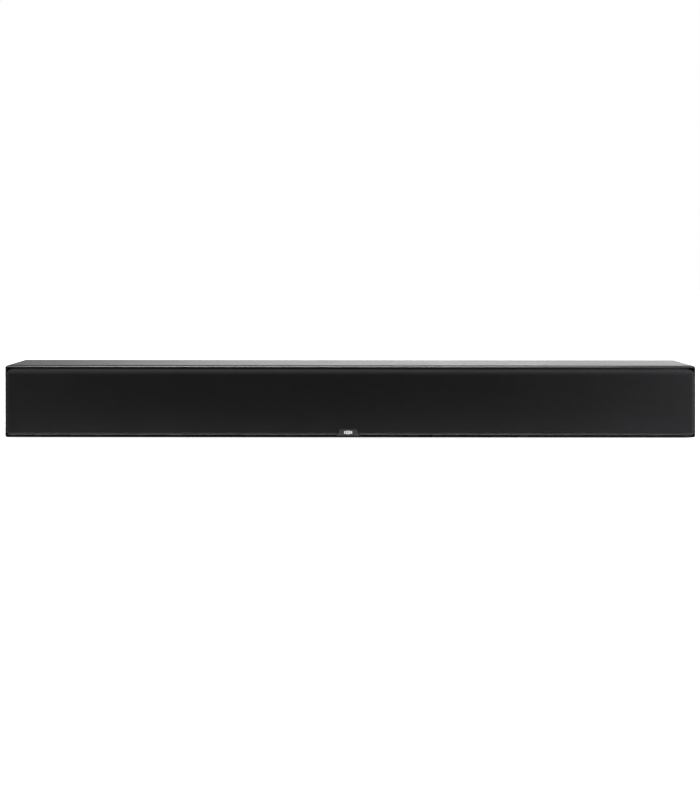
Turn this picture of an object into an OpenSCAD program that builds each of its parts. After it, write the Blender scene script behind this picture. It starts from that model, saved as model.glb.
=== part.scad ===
// Passive three-channel soundbar: a long moulded cabinet with a pull-off cloth grille, six woofers and three
// dome tweeters on one baffle, and a recessed panel of push terminals at the back.
// Frame: X to the right as seen by a listener, Y to the back, Z up. The origin is on the surface that the
// feet stand on, under the middle of the whole object.

/* [Cabinet] */
// Width of the moulded shell
cabinet_w = 1220; // [1216:2:1280]
// Height of the moulded shell, without the feet
cabinet_h = 127; // [126:1:134]
// Depth of the moulded shell, from its front rim to its back edge
cabinet_d = 99; // [98:1:110]
// Wall thickness of the moulded shell
wall = 3; // [2.6:0.1:3.2]
// Corner radius of the shell, seen from the front
corner_r = 5; // [4:0.5:8]
// Radius that rounds the shell's front rim
rim_r = 2.4; // [1.6:0.2:2.6]
// Height of the rubber feet below the shell
foot_h = 2; // [1.5:0.5:4]

/* [Grille] */
// How far the grille stands proud of the shell's front rim
grille_proud = 14; // [10:0.5:14]
// Shell edge that shows all round the grille
grille_margin = 6; // [5:0.1:6.5]
// Radius of the grille's front edges
grille_edge_r = 8; // [5:0.5:8]
// Corner radius of the grille, seen from the front
grille_corner_r = 8.5; // [8.2:0.1:9]
// Thickness of the grille cloth
cloth_t = 0.8; // [0.6:0.1:1]
// Width of the rail round the grille frame
rail_w = 9.5; // [8:0.5:10]
// Radius of the pegs that hold the grille on
peg_r = 3; // [2.5:0.1:3.2]

/* [Drivers] */
// Distance between the middles of two neighbouring channels
channel_pitch = 440; // [436:1:444]
// Distance from a tweeter to the woofer on each side of it
woofer_offset = 95; // [94:1:98]
// Radius of a woofer's mounting flange
flange_r = 54; // [52:0.5:54]
// Radius of a woofer's cone at its outer edge
cone_r = 37.2; // [36:0.1:37.2]
// Radius of the voice coil's former
former_r = 12.7; // [12:0.1:12.7]
// Radius of a tweeter's faceplate
faceplate_r = 36; // [34:0.5:36]
// Radius of a tweeter's dome
dome_r = 12.7; // [12:0.1:12.7]

/* [Back] */
// Distance from the middle to each keyhole hanger
keyhole_x = 340; // [330:1:350]
// Width of the pattern of bracket inserts
insert_span_x = 520; // [500:10:540]
// Height of the pattern of bracket inserts
insert_span_z = 60; // [50:1:64]
// Thread-drill radius of a bracket insert
insert_bore_r = 2.5; // [2:0.1:3]

/* [Hidden] */
$fn = 48;
gap = 0.05;            // clearance between two pieces that meet
eps = 0.5;             // how far a cutting tool runs past the face that it cuts

// Depths along Y
badge_t = 1;
back_y = (cabinet_d + grille_proud + badge_t) / 2;
rim_y = back_y - cabinet_d;
grille_front_y = rim_y - grille_proud;
baffle_front_y = rim_y + 7;
baffle_t = 9;
baffle_back_y = baffle_front_y + baffle_t;
panel_t = 4;
panel_back_y = back_y - 3;
panel_front_y = panel_back_y - panel_t;
wire_y = panel_back_y - 52;      // where the depths of the wires are measured from
gasket_t = 1;
rear_ledge_y = panel_front_y - gasket_t;
rear_ledge_t = 8;
front_ledge_t = 4;

// Heights along Z
floor_z = foot_h;
axis_z = floor_z + cabinet_h / 2;
inner_w = cabinet_w - 2 * wall;
inner_h = cabinet_h - 2 * wall;
front_ledge_w = 6;
rear_ledge_w = 8;
plate_play = 0.3;      // clearance round the baffle and the rear panel

// Where things stand along X
tweeter_xs = [-channel_pitch, 0, channel_pitch];
woofer_xs = [for (x = tweeter_xs, side = [-1, 1]) x + side * woofer_offset];
divider_xs = [-channel_pitch / 2, channel_pitch / 2];
rib_xs = [for (x = [42, 148, 220, 292, 398, 482], side = [-1, 1]) side * x];
peg_xs = [-590, -292, 0, 292, 590];
peg_dz = inner_h / 2 - 7.7;
screw_xs = [-570, -380, -190, 0, 190, 380, 570];
foot_xs = [-540, 540];
foot_ys = [rim_y + 22, back_y - 20];

// Grille
grille_w = cabinet_w - 2 * grille_margin;
grille_h = cabinet_h - 2 * grille_margin;
grille_back_y = baffle_front_y - 2.5;
frame_front_y = grille_front_y + cloth_t + gap;
frame_w = grille_w - 2 * (cloth_t + gap);
frame_h = grille_h - 2 * (cloth_t + gap);
peg_length = 8;
badge_x = -4;
badge_w = 40;
badge_top_w = 29;
badge_low = 0.3;       // the badge's lower edge, above the grille's lower edge
badge_top = 10.9;      // the badge's upper edge, above the grille's lower edge
badge_reach = 6;       // how far back the badge follows the grille's rounded edge
bar_heights = [6, 4.2, 6.6, 3.4, 5.2];
bar_middle = 5.8;
bar_pitch = 3;
bar_w = 2;
socket_r = 5;
socket_depth = 8.4;

// Woofer, in its own frame: Z towards the listener, zero at the baffle's face
basket_inner_r = 44.2;
roll_r = 3.5;
roll_mid_r = cone_r + 0.2 + roll_r;
cone_depth = 16.6;
cone_t = 0.7;
cone_z = -0.4;
neck_z = cone_z - cone_depth;
former_t = 0.3;
coil_t = 0.55;
spider_z = -22;
spider_r = 35.5;
basket_back_z = -32;
top_plate_t = 4.5;
magnet_t = 12;
yoke_t = 5;
pole_r = former_r - former_t - 0.4;
pole_gap_r = former_r + coil_t + 0.5;
woofer_screw_r = 1.6;

// Tweeter, in its own frame
dome_z = -6;
dome_h = 5.2;
tweeter_screw_r = 1.4;

// Terminal panel, in a recess of the rear panel
cup_w = 184;
cup_h = 56;
cup_wall = 2;
cup_floor_y = panel_back_y - 12;
cup_flange_t = 2;
lever_xs = [-71, -49, -11, 11, 49, 71];
lever_w = 15;
lever_pivot_y = cup_floor_y + 6;
lever_pivot_z = axis_z + 15.5;
lever_pin_r = 1.5;
lever_length = 21;
wire_hole = 3.4;
block_top_z = lever_pivot_z - lever_length - 2;
wire_hole_z = block_top_z - 4.5;
strip_z = wire_hole_z - wire_hole / 2 + 0.35;

// Keyhole hanger
keyhole_z = axis_z + 31.5;
keyhole_entry_r = 5;
keyhole_slot_r = 2.4;
keyhole_travel = 9;
hanger_pocket = [36, 9.5, 26];

// Boards stand beside the terminal panel and in the two end chambers
board_xs = [-channel_pitch, 155, channel_pitch];
board_w = 84;
board_h = 62;
board_t = 1.6;
board_y = panel_front_y - 6.6;

// ---------- helpers ----------

// Turns a child drawn with Z towards the listener so that it faces the front of the cabinet.
module facing_front(x = 0, y = baffle_front_y, z = axis_z) {
    translate([x, y, z]) rotate([90, 0, 0]) children();
}

// Turns a child drawn with Z outwards so that it faces the back of the cabinet.
module facing_back(x = 0, y = panel_back_y, z = axis_z) {
    translate([x, y, z]) rotate([-90, 0, 0]) children();
}

// A disc of thickness t with its upper edge rounded by edge_r.
module rounded_puck(r, t, edge_r) {
    rotate_extrude($fn = 32) intersection() {
        square([r, t]);
        union() {
            square([r, t - edge_r]);
            square([r - edge_r, t]);
            translate([r - edge_r, t - edge_r]) circle(edge_r, $fn = 32);
        }
    }
}

// A slab of w by h with round corners, its upper edge rounded by edge_r.
module rounded_slab(w, h, t, r, edge_r) {
    hull() for (sx = [-1, 1], sy = [-1, 1])
        translate([sx * (w / 2 - r), sy * (h / 2 - r), 0]) rounded_puck(r, t, edge_r);
}

// A box between two corners.
module box_between(low, high) {
    translate(low) cube(high - low);
}

// A picture frame in the XZ plane: outer size, width of its border, and its span along Y.
module border(w, h, border_w, y0, y1) {
    difference() {
        box_between([-w / 2, y0, axis_z - h / 2], [w / 2, y1, axis_z + h / 2]);
        box_between([-w / 2 + border_w, y0 - eps, axis_z - h / 2 + border_w],
                    [w / 2 - border_w, y1 + eps, axis_z + h / 2 - border_w]);
    }
}

// A ring from r0 to r1 and from z0 to z1.
module ring(r0, r1, z0, z1) {
    rotate_extrude() translate([r0, z0]) square([r1 - r0, z1 - z0]);
}

// A pan-head screw, its head's underside at zero and its shank going down.
module screw(shank_r, length, head_r, head_t) {
    difference() {
        union() {
            cylinder(r = head_r, h = head_t);
            translate([0, 0, -length]) cylinder(r = shank_r, h = length + eps);
        }
        for (a = [0, 90]) rotate(a)
            translate([-head_r * 0.55, -head_r * 0.11, head_t * 0.4])
                cube([head_r * 1.1, head_r * 0.22, head_t]);
    }
}

// Catmull-Rom curve through the points p, with n steps to each stretch.
function curve_point(a, b, c, d, t) =
    0.5 * (2 * b + (c - a) * t + (2 * a - 5 * b + 4 * c - d) * t * t + (3 * b - a - 3 * c + d) * t * t * t);
function curve(p, n) = let (last = len(p) - 1)
    [for (i = [0:last - 1], k = [0:n - 1])
        curve_point(p[max(i - 1, 0)], p[i], p[i + 1], p[min(i + 2, last)], k / n), p[last]];
function unit(v) = v / norm(v);
function heading(p, i) = unit(p[min(i + 1, len(p) - 1)] - p[max(i - 1, 0)]);

// A wire of radius r swept along the points p.
module swept_wire(p, r, sides = 8) {
    rings = [for (i = [0:len(p) - 1]) let (
        along = heading(p, i),
        helper = abs(along.z) < 0.9 ? [0, 0, 1] : [0, 1, 0],
        u = unit(cross(helper, along)),
        v = cross(along, u))
        for (k = [0:sides - 1]) p[i] + r * (cos(360 * k / sides) * u + sin(360 * k / sides) * v)];
    last = len(p) - 1;
    polyhedron(rings, concat(
        [[for (k = [0:sides - 1]) k]],
        [for (i = [0:last - 1], k = [0:sides - 1])
            [i * sides + k, (i + 1) * sides + k,
             (i + 1) * sides + (k + 1) % sides, i * sides + (k + 1) % sides]],
        [[for (k = [sides - 1:-1:0]) last * sides + k]]));
}

// ---------- cabinet ----------

module rear_screw_places() {
    for (x = screw_xs, side = [-1, 1])
        translate([x, 0, axis_z + side * (inner_h / 2 - rear_ledge_w / 2)]) children();
    for (side = [-1, 1])
        translate([side * (inner_w / 2 - rear_ledge_w / 2), 0, axis_z]) children();
}

module foot_places() {
    for (x = foot_xs, y = foot_ys) translate([x, y, 0]) children();
}

// The moulded sleeve: four walls, a ledge for the baffle and a ledge for the rear panel.
module cabinet_shell() {
    color([0.045, 0.045, 0.048]) difference() {
        union() {
            difference() {
                facing_front(y = back_y) rounded_slab(cabinet_w, cabinet_h, cabinet_d, corner_r, rim_r);
                box_between([-inner_w / 2, rim_y - eps, axis_z - inner_h / 2],
                            [inner_w / 2, back_y + eps, axis_z + inner_h / 2]);
            }
            border(inner_w + 1, inner_h + 1, front_ledge_w + 0.5,
                   baffle_back_y, baffle_back_y + front_ledge_t);
            border(inner_w + 1, inner_h + 1, rear_ledge_w + 0.5,
                   rear_ledge_y - rear_ledge_t, rear_ledge_y);
        }
        rear_screw_places() facing_back(y = rear_ledge_y + eps, z = 0)
            translate([0, 0, -rear_ledge_t]) cylinder(r = 1.5, h = rear_ledge_t + eps, $fn = 24);
        foot_places() cylinder(r = 9.3, h = foot_h + 0.5);
    }
}

module front_baffle() {
    color([0.09, 0.085, 0.08]) difference() {
        box_between([-inner_w / 2 + plate_play, baffle_front_y, axis_z - inner_h / 2 + plate_play],
                    [inner_w / 2 - plate_play, baffle_back_y - gap, axis_z + inner_h / 2 - plate_play]);
        for (x = woofer_xs) facing_front(x) {
            translate([0, 0, -3 - gap]) cylinder(r = flange_r + 0.1, h = 3 + eps, $fn = 96);
            translate([0, 0, -baffle_t - eps]) cylinder(r = 48.8, h = baffle_t + eps, $fn = 96);
            woofer_screw_places() translate([0, 0, -8.5]) cylinder(r = woofer_screw_r + gap, h = 6, $fn = 24);
        }
        for (x = tweeter_xs) facing_front(x) {
            translate([0, 0, -3 - gap]) cylinder(r = faceplate_r + 0.1, h = 3 + eps, $fn = 96);
            translate([0, 0, -baffle_t - eps]) cylinder(r = 21, h = baffle_t + eps);
            tweeter_screw_places() translate([0, 0, -7.5])
                cylinder(r = tweeter_screw_r + gap, h = 5, $fn = 24);
        }
        for (x = peg_xs, side = [-1, 1]) facing_front(x, z = axis_z + side * peg_dz)
            translate([0, 0, -baffle_t - eps]) cylinder(r = socket_r + gap, h = baffle_t + 2 * eps);
    }
}

// The back closes the cabinet and carries the terminal panel, the hangers and the bracket inserts.
module rear_panel() {
    color([0.06, 0.06, 0.062]) difference() {
        union() {
            box_between([-inner_w / 2 + plate_play, panel_front_y, axis_z - inner_h / 2 + plate_play],
                        [inner_w / 2 - plate_play, panel_back_y, axis_z + inner_h / 2 - plate_play]);
            insert_places() translate([0, 0, -14]) cylinder(r = 8, h = 14 - panel_t + eps);
            board_post_places() cylinder(r = 2.5, h = panel_front_y - board_y - gap + eps, $fn = 24);
        }
        rear_screw_places() facing_back(z = 0) translate([0, 0, -panel_t - eps])
            cylinder(r = 1.7, h = 6, $fn = 24);
        insert_places() translate([0, 0, -12.1]) cylinder(r = 5 + gap, h = 14);
        box_between([-cup_w / 2 - gap, panel_front_y - eps, axis_z - cup_h / 2 - gap],
                    [cup_w / 2 + gap, panel_back_y + eps, axis_z + cup_h / 2 + gap]);
        cup_screw_places() translate([0, 0, -panel_t - eps]) cylinder(r = 1.3, h = 6, $fn = 24);
        for (side = [-1, 1]) {
            translate([side * keyhole_x - hanger_pocket.x / 2 - gap, panel_front_y - eps,
                       keyhole_z - hanger_pocket.z / 2 - gap])
                cube([hanger_pocket.x + 2 * gap, panel_t + 2 * eps, hanger_pocket.z + 2 * gap]);
        }
        hanger_screw_places() translate([0, 0, -panel_t - eps]) cylinder(r = 1.3, h = 6, $fn = 24);
    }
}

// A wall between two channels' air volumes, notched round both ledges, with a hole for the lead that passes.
module chamber_dividers() {
    t = 6;
    top = inner_h / 2 - 0.1;
    y0 = baffle_back_y + 0.1;
    y1 = panel_front_y - 0.1;
    front_y = baffle_back_y + front_ledge_t + 0.1;
    rear_y = rear_ledge_y - rear_ledge_t - 0.1;
    front_z = inner_h / 2 - front_ledge_w - 0.1;
    rear_z = inner_h / 2 - rear_ledge_w - 0.1;
    half = [[y0, 0], [y0, front_z], [front_y, front_z], [front_y, top], [rear_y, top], [rear_y, rear_z],
            [y1, rear_z], [y1, 0]];
    outline = concat(half, [for (i = [len(half) - 2:-1:1]) [half[i].x, -half[i].y]]);
    color([0.35, 0.25, 0.16]) for (x = divider_xs) difference() {
        translate([x - t / 2, 0, axis_z]) rotate([90, 0, 90]) linear_extrude(t) polygon(outline);
        translate([x - t, wire_y + 22, axis_z]) rotate([0, 90, 0]) cylinder(r = 4, h = 2 * t, $fn = 24);
    }
}

module rear_gasket() {
    color([0.12, 0.12, 0.12]) difference() {
        border(inner_w - 1, inner_h - 1, rear_ledge_w - 1, rear_ledge_y + gap, panel_front_y - gap);
        rear_screw_places() facing_back(z = 0) translate([0, 0, -8]) cylinder(r = 1.7, h = 6, $fn = 24);
    }
}

module rear_panel_screws() {
    color([0.2, 0.2, 0.21]) {
        rear_screw_places() facing_back(y = panel_back_y + gap, z = 0) screw(1.4, 11, 3.3, 1.9);
        cup_screw_places() translate([0, 0, cup_flange_t + 2 * gap]) screw(1.2, 8, 2.2, 0.8);
        hanger_screw_places() translate([0, 0, 1.5 + 2 * gap]) screw(1.2, 7, 2, 0.9);
    }
}

module rubber_feet() {
    color([0.07, 0.07, 0.07]) foot_places() cylinder(r1 = 8.4, r2 = 9, h = foot_h + 0.5 - gap);
}

// ---------- back ----------

module insert_places() {
    for (sx = [-1, 1], sz = [-1, 1])
        facing_back(sx * insert_span_x / 2, z = axis_z + sz * insert_span_z / 2) children();
}

module bracket_inserts() {
    color([0.78, 0.6, 0.28]) insert_places() difference() {
        union() {
            translate([0, 0, -12]) cylinder(r = 5, h = 12);
            cylinder(r = 6.5, h = 1);
        }
        translate([0, 0, -12 + eps]) cylinder(r = insert_bore_r, h = 14);
    }
}

module hanger_screw_places() {
    for (side = [-1, 1], s = [-1, 1]) facing_back(side * keyhole_x + s * 20.2, z = keyhole_z) children();
}

// The keyhole: a screw head goes in at the round entry, and its neck slides up the slot.
module keyhole_cut() {
    translate([0, -3, -3]) cylinder(r = keyhole_entry_r, h = 8);
    translate([0, -3 + keyhole_travel, -3]) cylinder(r = keyhole_slot_r, h = 8);
    translate([-keyhole_slot_r, -3, -3]) cube([2 * keyhole_slot_r, keyhole_travel, 8]);
}

// Two cast hangers: a flange with a keyhole, and a closed pocket behind it for the screw head.
module keyhole_hangers() {
    skin = 1.5;
    color([0.6, 0.6, 0.62]) for (side = [-1, 1])
        translate([side * keyhole_x, panel_back_y + gap, keyhole_z]) difference() {
            union() {
                translate([-23, 0, -17]) cube([46, skin, 34]);
                translate([-hanger_pocket.x / 2, -hanger_pocket.y, -hanger_pocket.z / 2])
                    cube([hanger_pocket.x, hanger_pocket.y + 0.5, hanger_pocket.z]);
            }
            translate([-hanger_pocket.x / 2 + skin, -hanger_pocket.y + skin, -hanger_pocket.z / 2 + skin])
                cube([hanger_pocket.x - 2 * skin, hanger_pocket.y - skin, hanger_pocket.z - 2 * skin]);
            mirror([0, 1, 0]) rotate([90, 0, 0]) keyhole_cut();
            for (s = [-1, 1]) translate([s * 20.2, -1, 0]) rotate([-90, 0, 0])
                cylinder(r = 1.3, h = 4, $fn = 24);
        }
}

module cup_screw_places() {
    for (sx = [-1, 0, 1], sz = [-1, 1])
        facing_back(sx * (cup_w / 2 + 3.4), z = axis_z + sz * (cup_h / 2 + 3.4)) children();
}

// The recessed tray that carries the levers between ears, with a wire block under each lever.
module terminal_cup() {
    ear_top_z = lever_pivot_z + 5;
    ear_low_z = lever_pivot_z - 12;
    color([0.05, 0.05, 0.052]) difference() {
        union() {
            difference() {
                union() {
                    box_between([-cup_w / 2, cup_floor_y - cup_wall, axis_z - cup_h / 2],
                                [cup_w / 2, panel_back_y + 0.5, axis_z + cup_h / 2]);
                    box_between([-cup_w / 2 - 7, panel_back_y + gap, axis_z - cup_h / 2 - 7],
                                [cup_w / 2 + 7, panel_back_y + gap + cup_flange_t, axis_z + cup_h / 2 + 7]);
                }
                box_between([-cup_w / 2 + cup_wall, cup_floor_y, axis_z - cup_h / 2 + cup_wall],
                            [cup_w / 2 - cup_wall, back_y, axis_z + cup_h / 2 - cup_wall]);
            }
            for (x = lever_xs) {
                for (side = [-1, 1]) {
                    ear_x = x + side * (lever_w / 2 + 1.5);
                    box_between([ear_x - 1, cup_floor_y - 1, ear_low_z],
                                [ear_x + 1, cup_floor_y + 10, ear_top_z]);
                }
                box_between([x - 6, cup_floor_y - 1, block_top_z - 9], [x + 6, cup_floor_y + 9, block_top_z]);
            }
        }
        for (x = lever_xs) {
            translate([x - lever_w, lever_pivot_y, lever_pivot_z]) rotate([0, 90, 0])
                cylinder(r = lever_pin_r + gap, h = 2 * lever_w, $fn = 24);
            box_between([x - wire_hole / 2, cup_floor_y - 4, wire_hole_z - wire_hole / 2],
                        [x + wire_hole / 2, cup_floor_y + 10, wire_hole_z + wire_hole / 2]);
        }
        cup_screw_places() cylinder(r = 1.3, h = 4, $fn = 24);
    }
}

// One push lever: two stub pins, a plate that hangs from them, and a ridged thumb pad at its lower end.
module terminal_lever(i) {
    x = lever_xs[i - 1];
    is_red = i % 2 == 0;
    color(is_red ? [0.6, 0.05, 0.04] : [0.05, 0.05, 0.05]) translate([x, lever_pivot_y, lever_pivot_z]) {
        translate([-lever_w / 2 - 2.3, 0, 0]) rotate([0, 90, 0])
            cylinder(r = lever_pin_r, h = lever_w + 4.6, $fn = 24);
        translate([-lever_w / 2, 0, 0]) rotate([0, 90, 0]) cylinder(r = 3, h = lever_w);
        box_between([-lever_w / 2, 0.5, -lever_length], [lever_w / 2, 3, 0]);
        box_between([-lever_w / 2, 0.5, -lever_length], [lever_w / 2, 5, -lever_length + 7]);
        for (z = [1, 3, 5])
            box_between([-lever_w / 2, 4.5, -lever_length + z], [lever_w / 2, 5.8, -lever_length + z + 1]);
    }
}

// In each wire block a brass strip that ends in a solder tag inside the cabinet, and behind each lever the
// bent leaf that pushes it back out.
module terminal_contacts() {
    foot_y = cup_floor_y + gap;
    tip_y = lever_pivot_y + 0.2;
    leaf = [[foot_y, -2], [foot_y, -10.2], [tip_y - 0.7, -18.6], [tip_y - 1.7, -20.6], [tip_y - 1.1, -20.9],
            [tip_y, -18.6], [foot_y + 0.6, -10], [foot_y + 0.6, -2]];
    color([0.8, 0.65, 0.3]) for (x = lever_xs) {
        box_between([x - 1.5, cup_floor_y - 9, strip_z - 0.3], [x + 1.5, cup_floor_y + 6, strip_z + 0.3]);
        translate([x - 3, 0, lever_pivot_z]) rotate([90, 0, 90]) linear_extrude(6) polygon(leaf);
    }
}

module board_post_places() {
    for (x = board_xs, sx = [-1, 1], sz = [-1, 1])
        facing_back(x + sx * (board_w / 2 - 4), board_y, axis_z + sz * (board_h / 2 - 4)) children();
}

module crossover_boards() {
    color([0.1, 0.28, 0.13]) for (x = board_xs)
        box_between([x - board_w / 2, board_y - board_t, axis_z - board_h / 2],
                    [x + board_w / 2, board_y - gap, axis_z + board_h / 2]);
}

// On each board: two air-core coils, two film capacitors and one cement resistor.
module crossover_components() {
    face_y = board_y - board_t - gap;
    for (x = board_xs) {
        color([0.72, 0.38, 0.18]) for (side = [-1, 1])
            facing_front(x + side * 24, face_y, axis_z + 14) difference() {
                cylinder(r = 13, h = 11);
                translate([0, 0, -1]) cylinder(r = 6, h = 13);
            }
        color([0.75, 0.6, 0.1]) for (side = [-1, 1])
            translate([x + side * 21 - 11, face_y - 7, axis_z - 10]) rotate([0, 90, 0])
                cylinder(r = 6.5, h = 22);
        color([0.85, 0.84, 0.8])
            box_between([x - 20, face_y - 9, axis_z - 29], [x + 20, face_y, axis_z - 20]);
    }
}

// Twin leads: from each pair of terminals to a board, and from each board to its two woofers and its tweeter.
// They run behind the magnets, and the long ones pass a divider. Their depths are measured from wire_y.
function lead_to_end(side) = [
    [side * 60, 28, 48], [side * 66, 23, 52], [side * 120, 22, 65],
    [side * 200, 22, 65.5], [side * 240, 22, 65.5],
    [side * 320, 22, 60], [side * 385, 28, 46], [side * 404, 37, 42]];
lead_to_middle = [[0, 28, 48], [10, 23, 44], [60, 21, 38], [105, 25, 36], [119, 37, 38]];
function woofer_lead(board_x, driver_x) = let (side = sign(driver_x - board_x)) [
    [board_x + side * 30, 38, 39], [board_x + side * 34, 28, 31], [(board_x + driver_x) / 2, 22, 25],
    [driver_x - side * 8, 7, 24], [driver_x, 0, 27.5], [driver_x, -5.5, 27.5]];
function tweeter_lead(board_x, tweeter_x) = let (start_x = board_x == tweeter_x ? board_x : board_x - 38) [
    [start_x, 38, 66], [(start_x + tweeter_x) / 2, 24, 71], [start_x * 0.1 + tweeter_x * 0.9, 9, 69],
    [tweeter_x, -6, axis_z], [tweeter_x, -12.5, axis_z]];
function terminal_lead(x) = [
    [x, 30.5, strip_z], [x, 29, strip_z], [x, 27.5, 51],
    [round(x / 60) * 60, 28, 48]];

module wiring_loom() {
    color([0.45, 0.06, 0.05]) translate([0, wire_y, 0]) {
        for (side = [-1, 1]) swept_wire(curve(lead_to_end(side), 3), 1.9);
        swept_wire(curve(lead_to_middle, 3), 1.9);
        for (x = lever_xs) swept_wire(curve(terminal_lead(x), 2), 0.9);
        for (c = [0:2]) {
            for (side = [-1, 1])
                swept_wire(curve(woofer_lead(board_xs[c], tweeter_xs[c] + side * woofer_offset), 3), 1.5);
            swept_wire(curve(tweeter_lead(board_xs[c], tweeter_xs[c]), 3), 1.2);
        }
    }
}

// Blocks of polyester wadding in the four stretches of cabinet that no driver fills.
module damping_wadding() {
    color([0.82, 0.82, 0.8]) for (side = [-1, 1], x = [184, 256])
        translate([side * x, baffle_back_y + 22, axis_z]) rotate([90, 0, 0])
            linear_extrude(34, center = true) square([58, 88], center = true);
}

// ---------- woofers ----------

module each_woofer() {
    for (x = woofer_xs) facing_front(x) children();
}

module woofer_screw_places() {
    for (a = [45:90:315]) rotate(a) translate([flange_r - 3.3, 0, 0]) children();
}

// A stamped basket: flange, skirt with six windows, spider ledge and back ring.
module woofer_basket() {
    skirt_top = basket_inner_r + 2.4;
    difference() {
        union() {
            rotate_extrude($fn = 96) polygon([
                [basket_inner_r, 0], [flange_r, 0], [flange_r, -3], [skirt_top + 2, -3], [34, basket_back_z],
                [16, basket_back_z], [16, basket_back_z + 2], [32.8, basket_back_z + 2], [skirt_top, -3.6],
                [basket_inner_r, -2]]);
            ring(spider_r - 4.5, 37.4, spider_z - 2, spider_z - gap);
            translate([-4, -41, basket_back_z + 1]) cube([8, 7, 5]);
        }
        for (a = [0:60:300]) rotate(a) translate([38.4, -10, -20]) cube([12, 20, 13]);
        woofer_screw_places() translate([0, 0, -4]) cylinder(r = woofer_screw_r + gap, h = 6, $fn = 24);
    }
}

module woofer_baskets() {
    color([0.1, 0.1, 0.1]) each_woofer() woofer_basket();
}

module woofer_magnets() {
    z1 = basket_back_z - top_plate_t - 2 * gap;
    color([0.16, 0.16, 0.17]) each_woofer() ring(17, 34, z1 - magnet_t, z1);
}

// Top plate round the coil, and the yoke with its pole through the magnet.
module woofer_pole_plates() {
    plate_z = basket_back_z - gap;
    magnet_z = basket_back_z - top_plate_t - 3 * gap - magnet_t;
    color([0.5, 0.5, 0.52]) each_woofer() {
        ring(pole_gap_r, 31, plate_z - top_plate_t, plate_z);
        rotate_extrude() polygon([
            [0, magnet_z - yoke_t], [31, magnet_z - yoke_t], [31, magnet_z], [pole_r + 2, magnet_z],
            [pole_r, magnet_z + 2], [pole_r, plate_z], [0, plate_z]]);
    }
}

// Height of the cone's face at radius r: shallow at the rim and steeper towards the neck.
function cone_height(r) = cone_z - cone_depth * pow((cone_r - r) / (cone_r - former_r - gap), 1.12);

module woofer_cone() {
    steps = 7;
    radii = [for (i = [0:steps]) cone_r + (former_r + gap - cone_r) * i / steps];
    rotate_extrude($fn = 72) polygon(concat(
        [for (r = radii) [r, cone_height(r)]],
        [for (i = [steps:-1:0]) [radii[i], cone_height(radii[i]) - cone_t]]));
}

// A shallow spherical cap of base radius r and height h, t thick.
module cap(r, h, t) {
    sphere_r = (r * r + h * h) / (2 * h);
    intersection() {
        translate([0, 0, h - sphere_r]) difference() {
            sphere(sphere_r, $fn = 72);
            sphere(sphere_r - t, $fn = 72);
        }
        cylinder(r = r + 1, h = h + 1);
    }
}

module woofer_dust_cap() {
    cap_r = 15.5;
    translate([0, 0, cone_height(cap_r) + 0.35]) cap(cap_r, 5, 0.6);
}

// The former hangs from the cone's neck, with the winding in the magnet's gap.
module woofer_voice_coil() {
    ring(former_r - former_t, former_r, -40.5, neck_z + 1);
    ring(former_r - 0.02, former_r + coil_t, -40, -32.5);
}

// The rubber half-roll, with a lip on the flange and a lip on the cone's rim.
module woofer_surround() {
    t = 0.8;
    rotate_extrude($fn = 72) {
        translate([roll_mid_r, gap]) intersection() {
            difference() {
                circle(roll_r + t / 2, $fn = 48);
                circle(roll_r - t / 2, $fn = 48);
            }
            translate([-10, 0]) square([20, 10]);
        }
        translate([cone_r - 2.6, gap]) square([3.1, t]);
        translate([roll_mid_r + roll_r - 0.2, gap]) square([3.2, t]);
    }
}

// A corrugated cloth disc between the former and its ledge.
module woofer_spider() {
    t = 0.45;
    waves = 5;
    steps = waves * 4;
    r0 = former_r + 0.15;
    points = [for (i = [0:steps]) [r0 + (spider_r - 5 - r0) * i / steps, spider_z + 0.5 + sin(90 * i)]];
    rotate_extrude() polygon(concat(
        points, [[spider_r, spider_z + t], [spider_r, spider_z], [spider_r - 5, spider_z]],
        [for (i = [steps - 1:-1:0]) points[i] - [0, t]]));
}

module woofer_spiders() {
    color([0.75, 0.6, 0.3]) each_woofer() woofer_spider();
}

module driver_screws() {
    color([0.12, 0.12, 0.12]) {
        each_woofer() woofer_screw_places() translate([0, 0, gap]) screw(woofer_screw_r, 8, 2.8, 1.6);
        for (x = tweeter_xs) facing_front(x)
            tweeter_screw_places() translate([0, 0, gap]) screw(tweeter_screw_r, 7, 2.4, 1.3);
    }
}

// ---------- tweeters ----------

module tweeter_screw_places() {
    for (a = [90:120:330]) rotate(a) translate([faceplate_r - 5.5, 0, 0]) children();
}

// A faceplate with a shallow waveguide and a collar that clamps the dome's edge.
module tweeter_faceplates() {
    color([0.06, 0.06, 0.06]) for (x = tweeter_xs) facing_front(x) difference() {
        rotate_extrude($fn = 72) polygon([
            [26, 0], [faceplate_r, 0], [faceplate_r, -3], [19.5, -3],
            [19.5, dome_z + 0.1], [16.2, dome_z + 0.1], [17.6, -3.4], [20.5, -1.6]]);
        tweeter_screw_places() translate([0, 0, -4]) cylinder(r = tweeter_screw_r + gap, h = 6, $fn = 24);
    }
}

module tweeter_motors() {
    color([0.3, 0.3, 0.32]) for (x = tweeter_xs) facing_front(x) rotate_extrude() polygon([
        [0, -24], [18, -24], [18, dome_z - 0.8], [13.5, dome_z - 0.8], [13.5, -10], [15.5, -10], [15.5, -21],
        [11.8, -21], [11.8, -7.5], [0, -7.5]]);
}

// The roll between the dome and its clamped edge.
module tweeter_surrounds() {
    color([0.05, 0.05, 0.055]) for (x = tweeter_xs) facing_front(x) rotate_extrude() {
        translate([14.6, dome_z - 0.5]) intersection() {
            difference() {
                circle(1.5, $fn = 32);
                circle(1.1, $fn = 32);
            }
            translate([-5, 0]) square([10, 5]);
        }
        translate([15.9, dome_z - 0.7]) square([2, 0.5]);
    }
}

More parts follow.
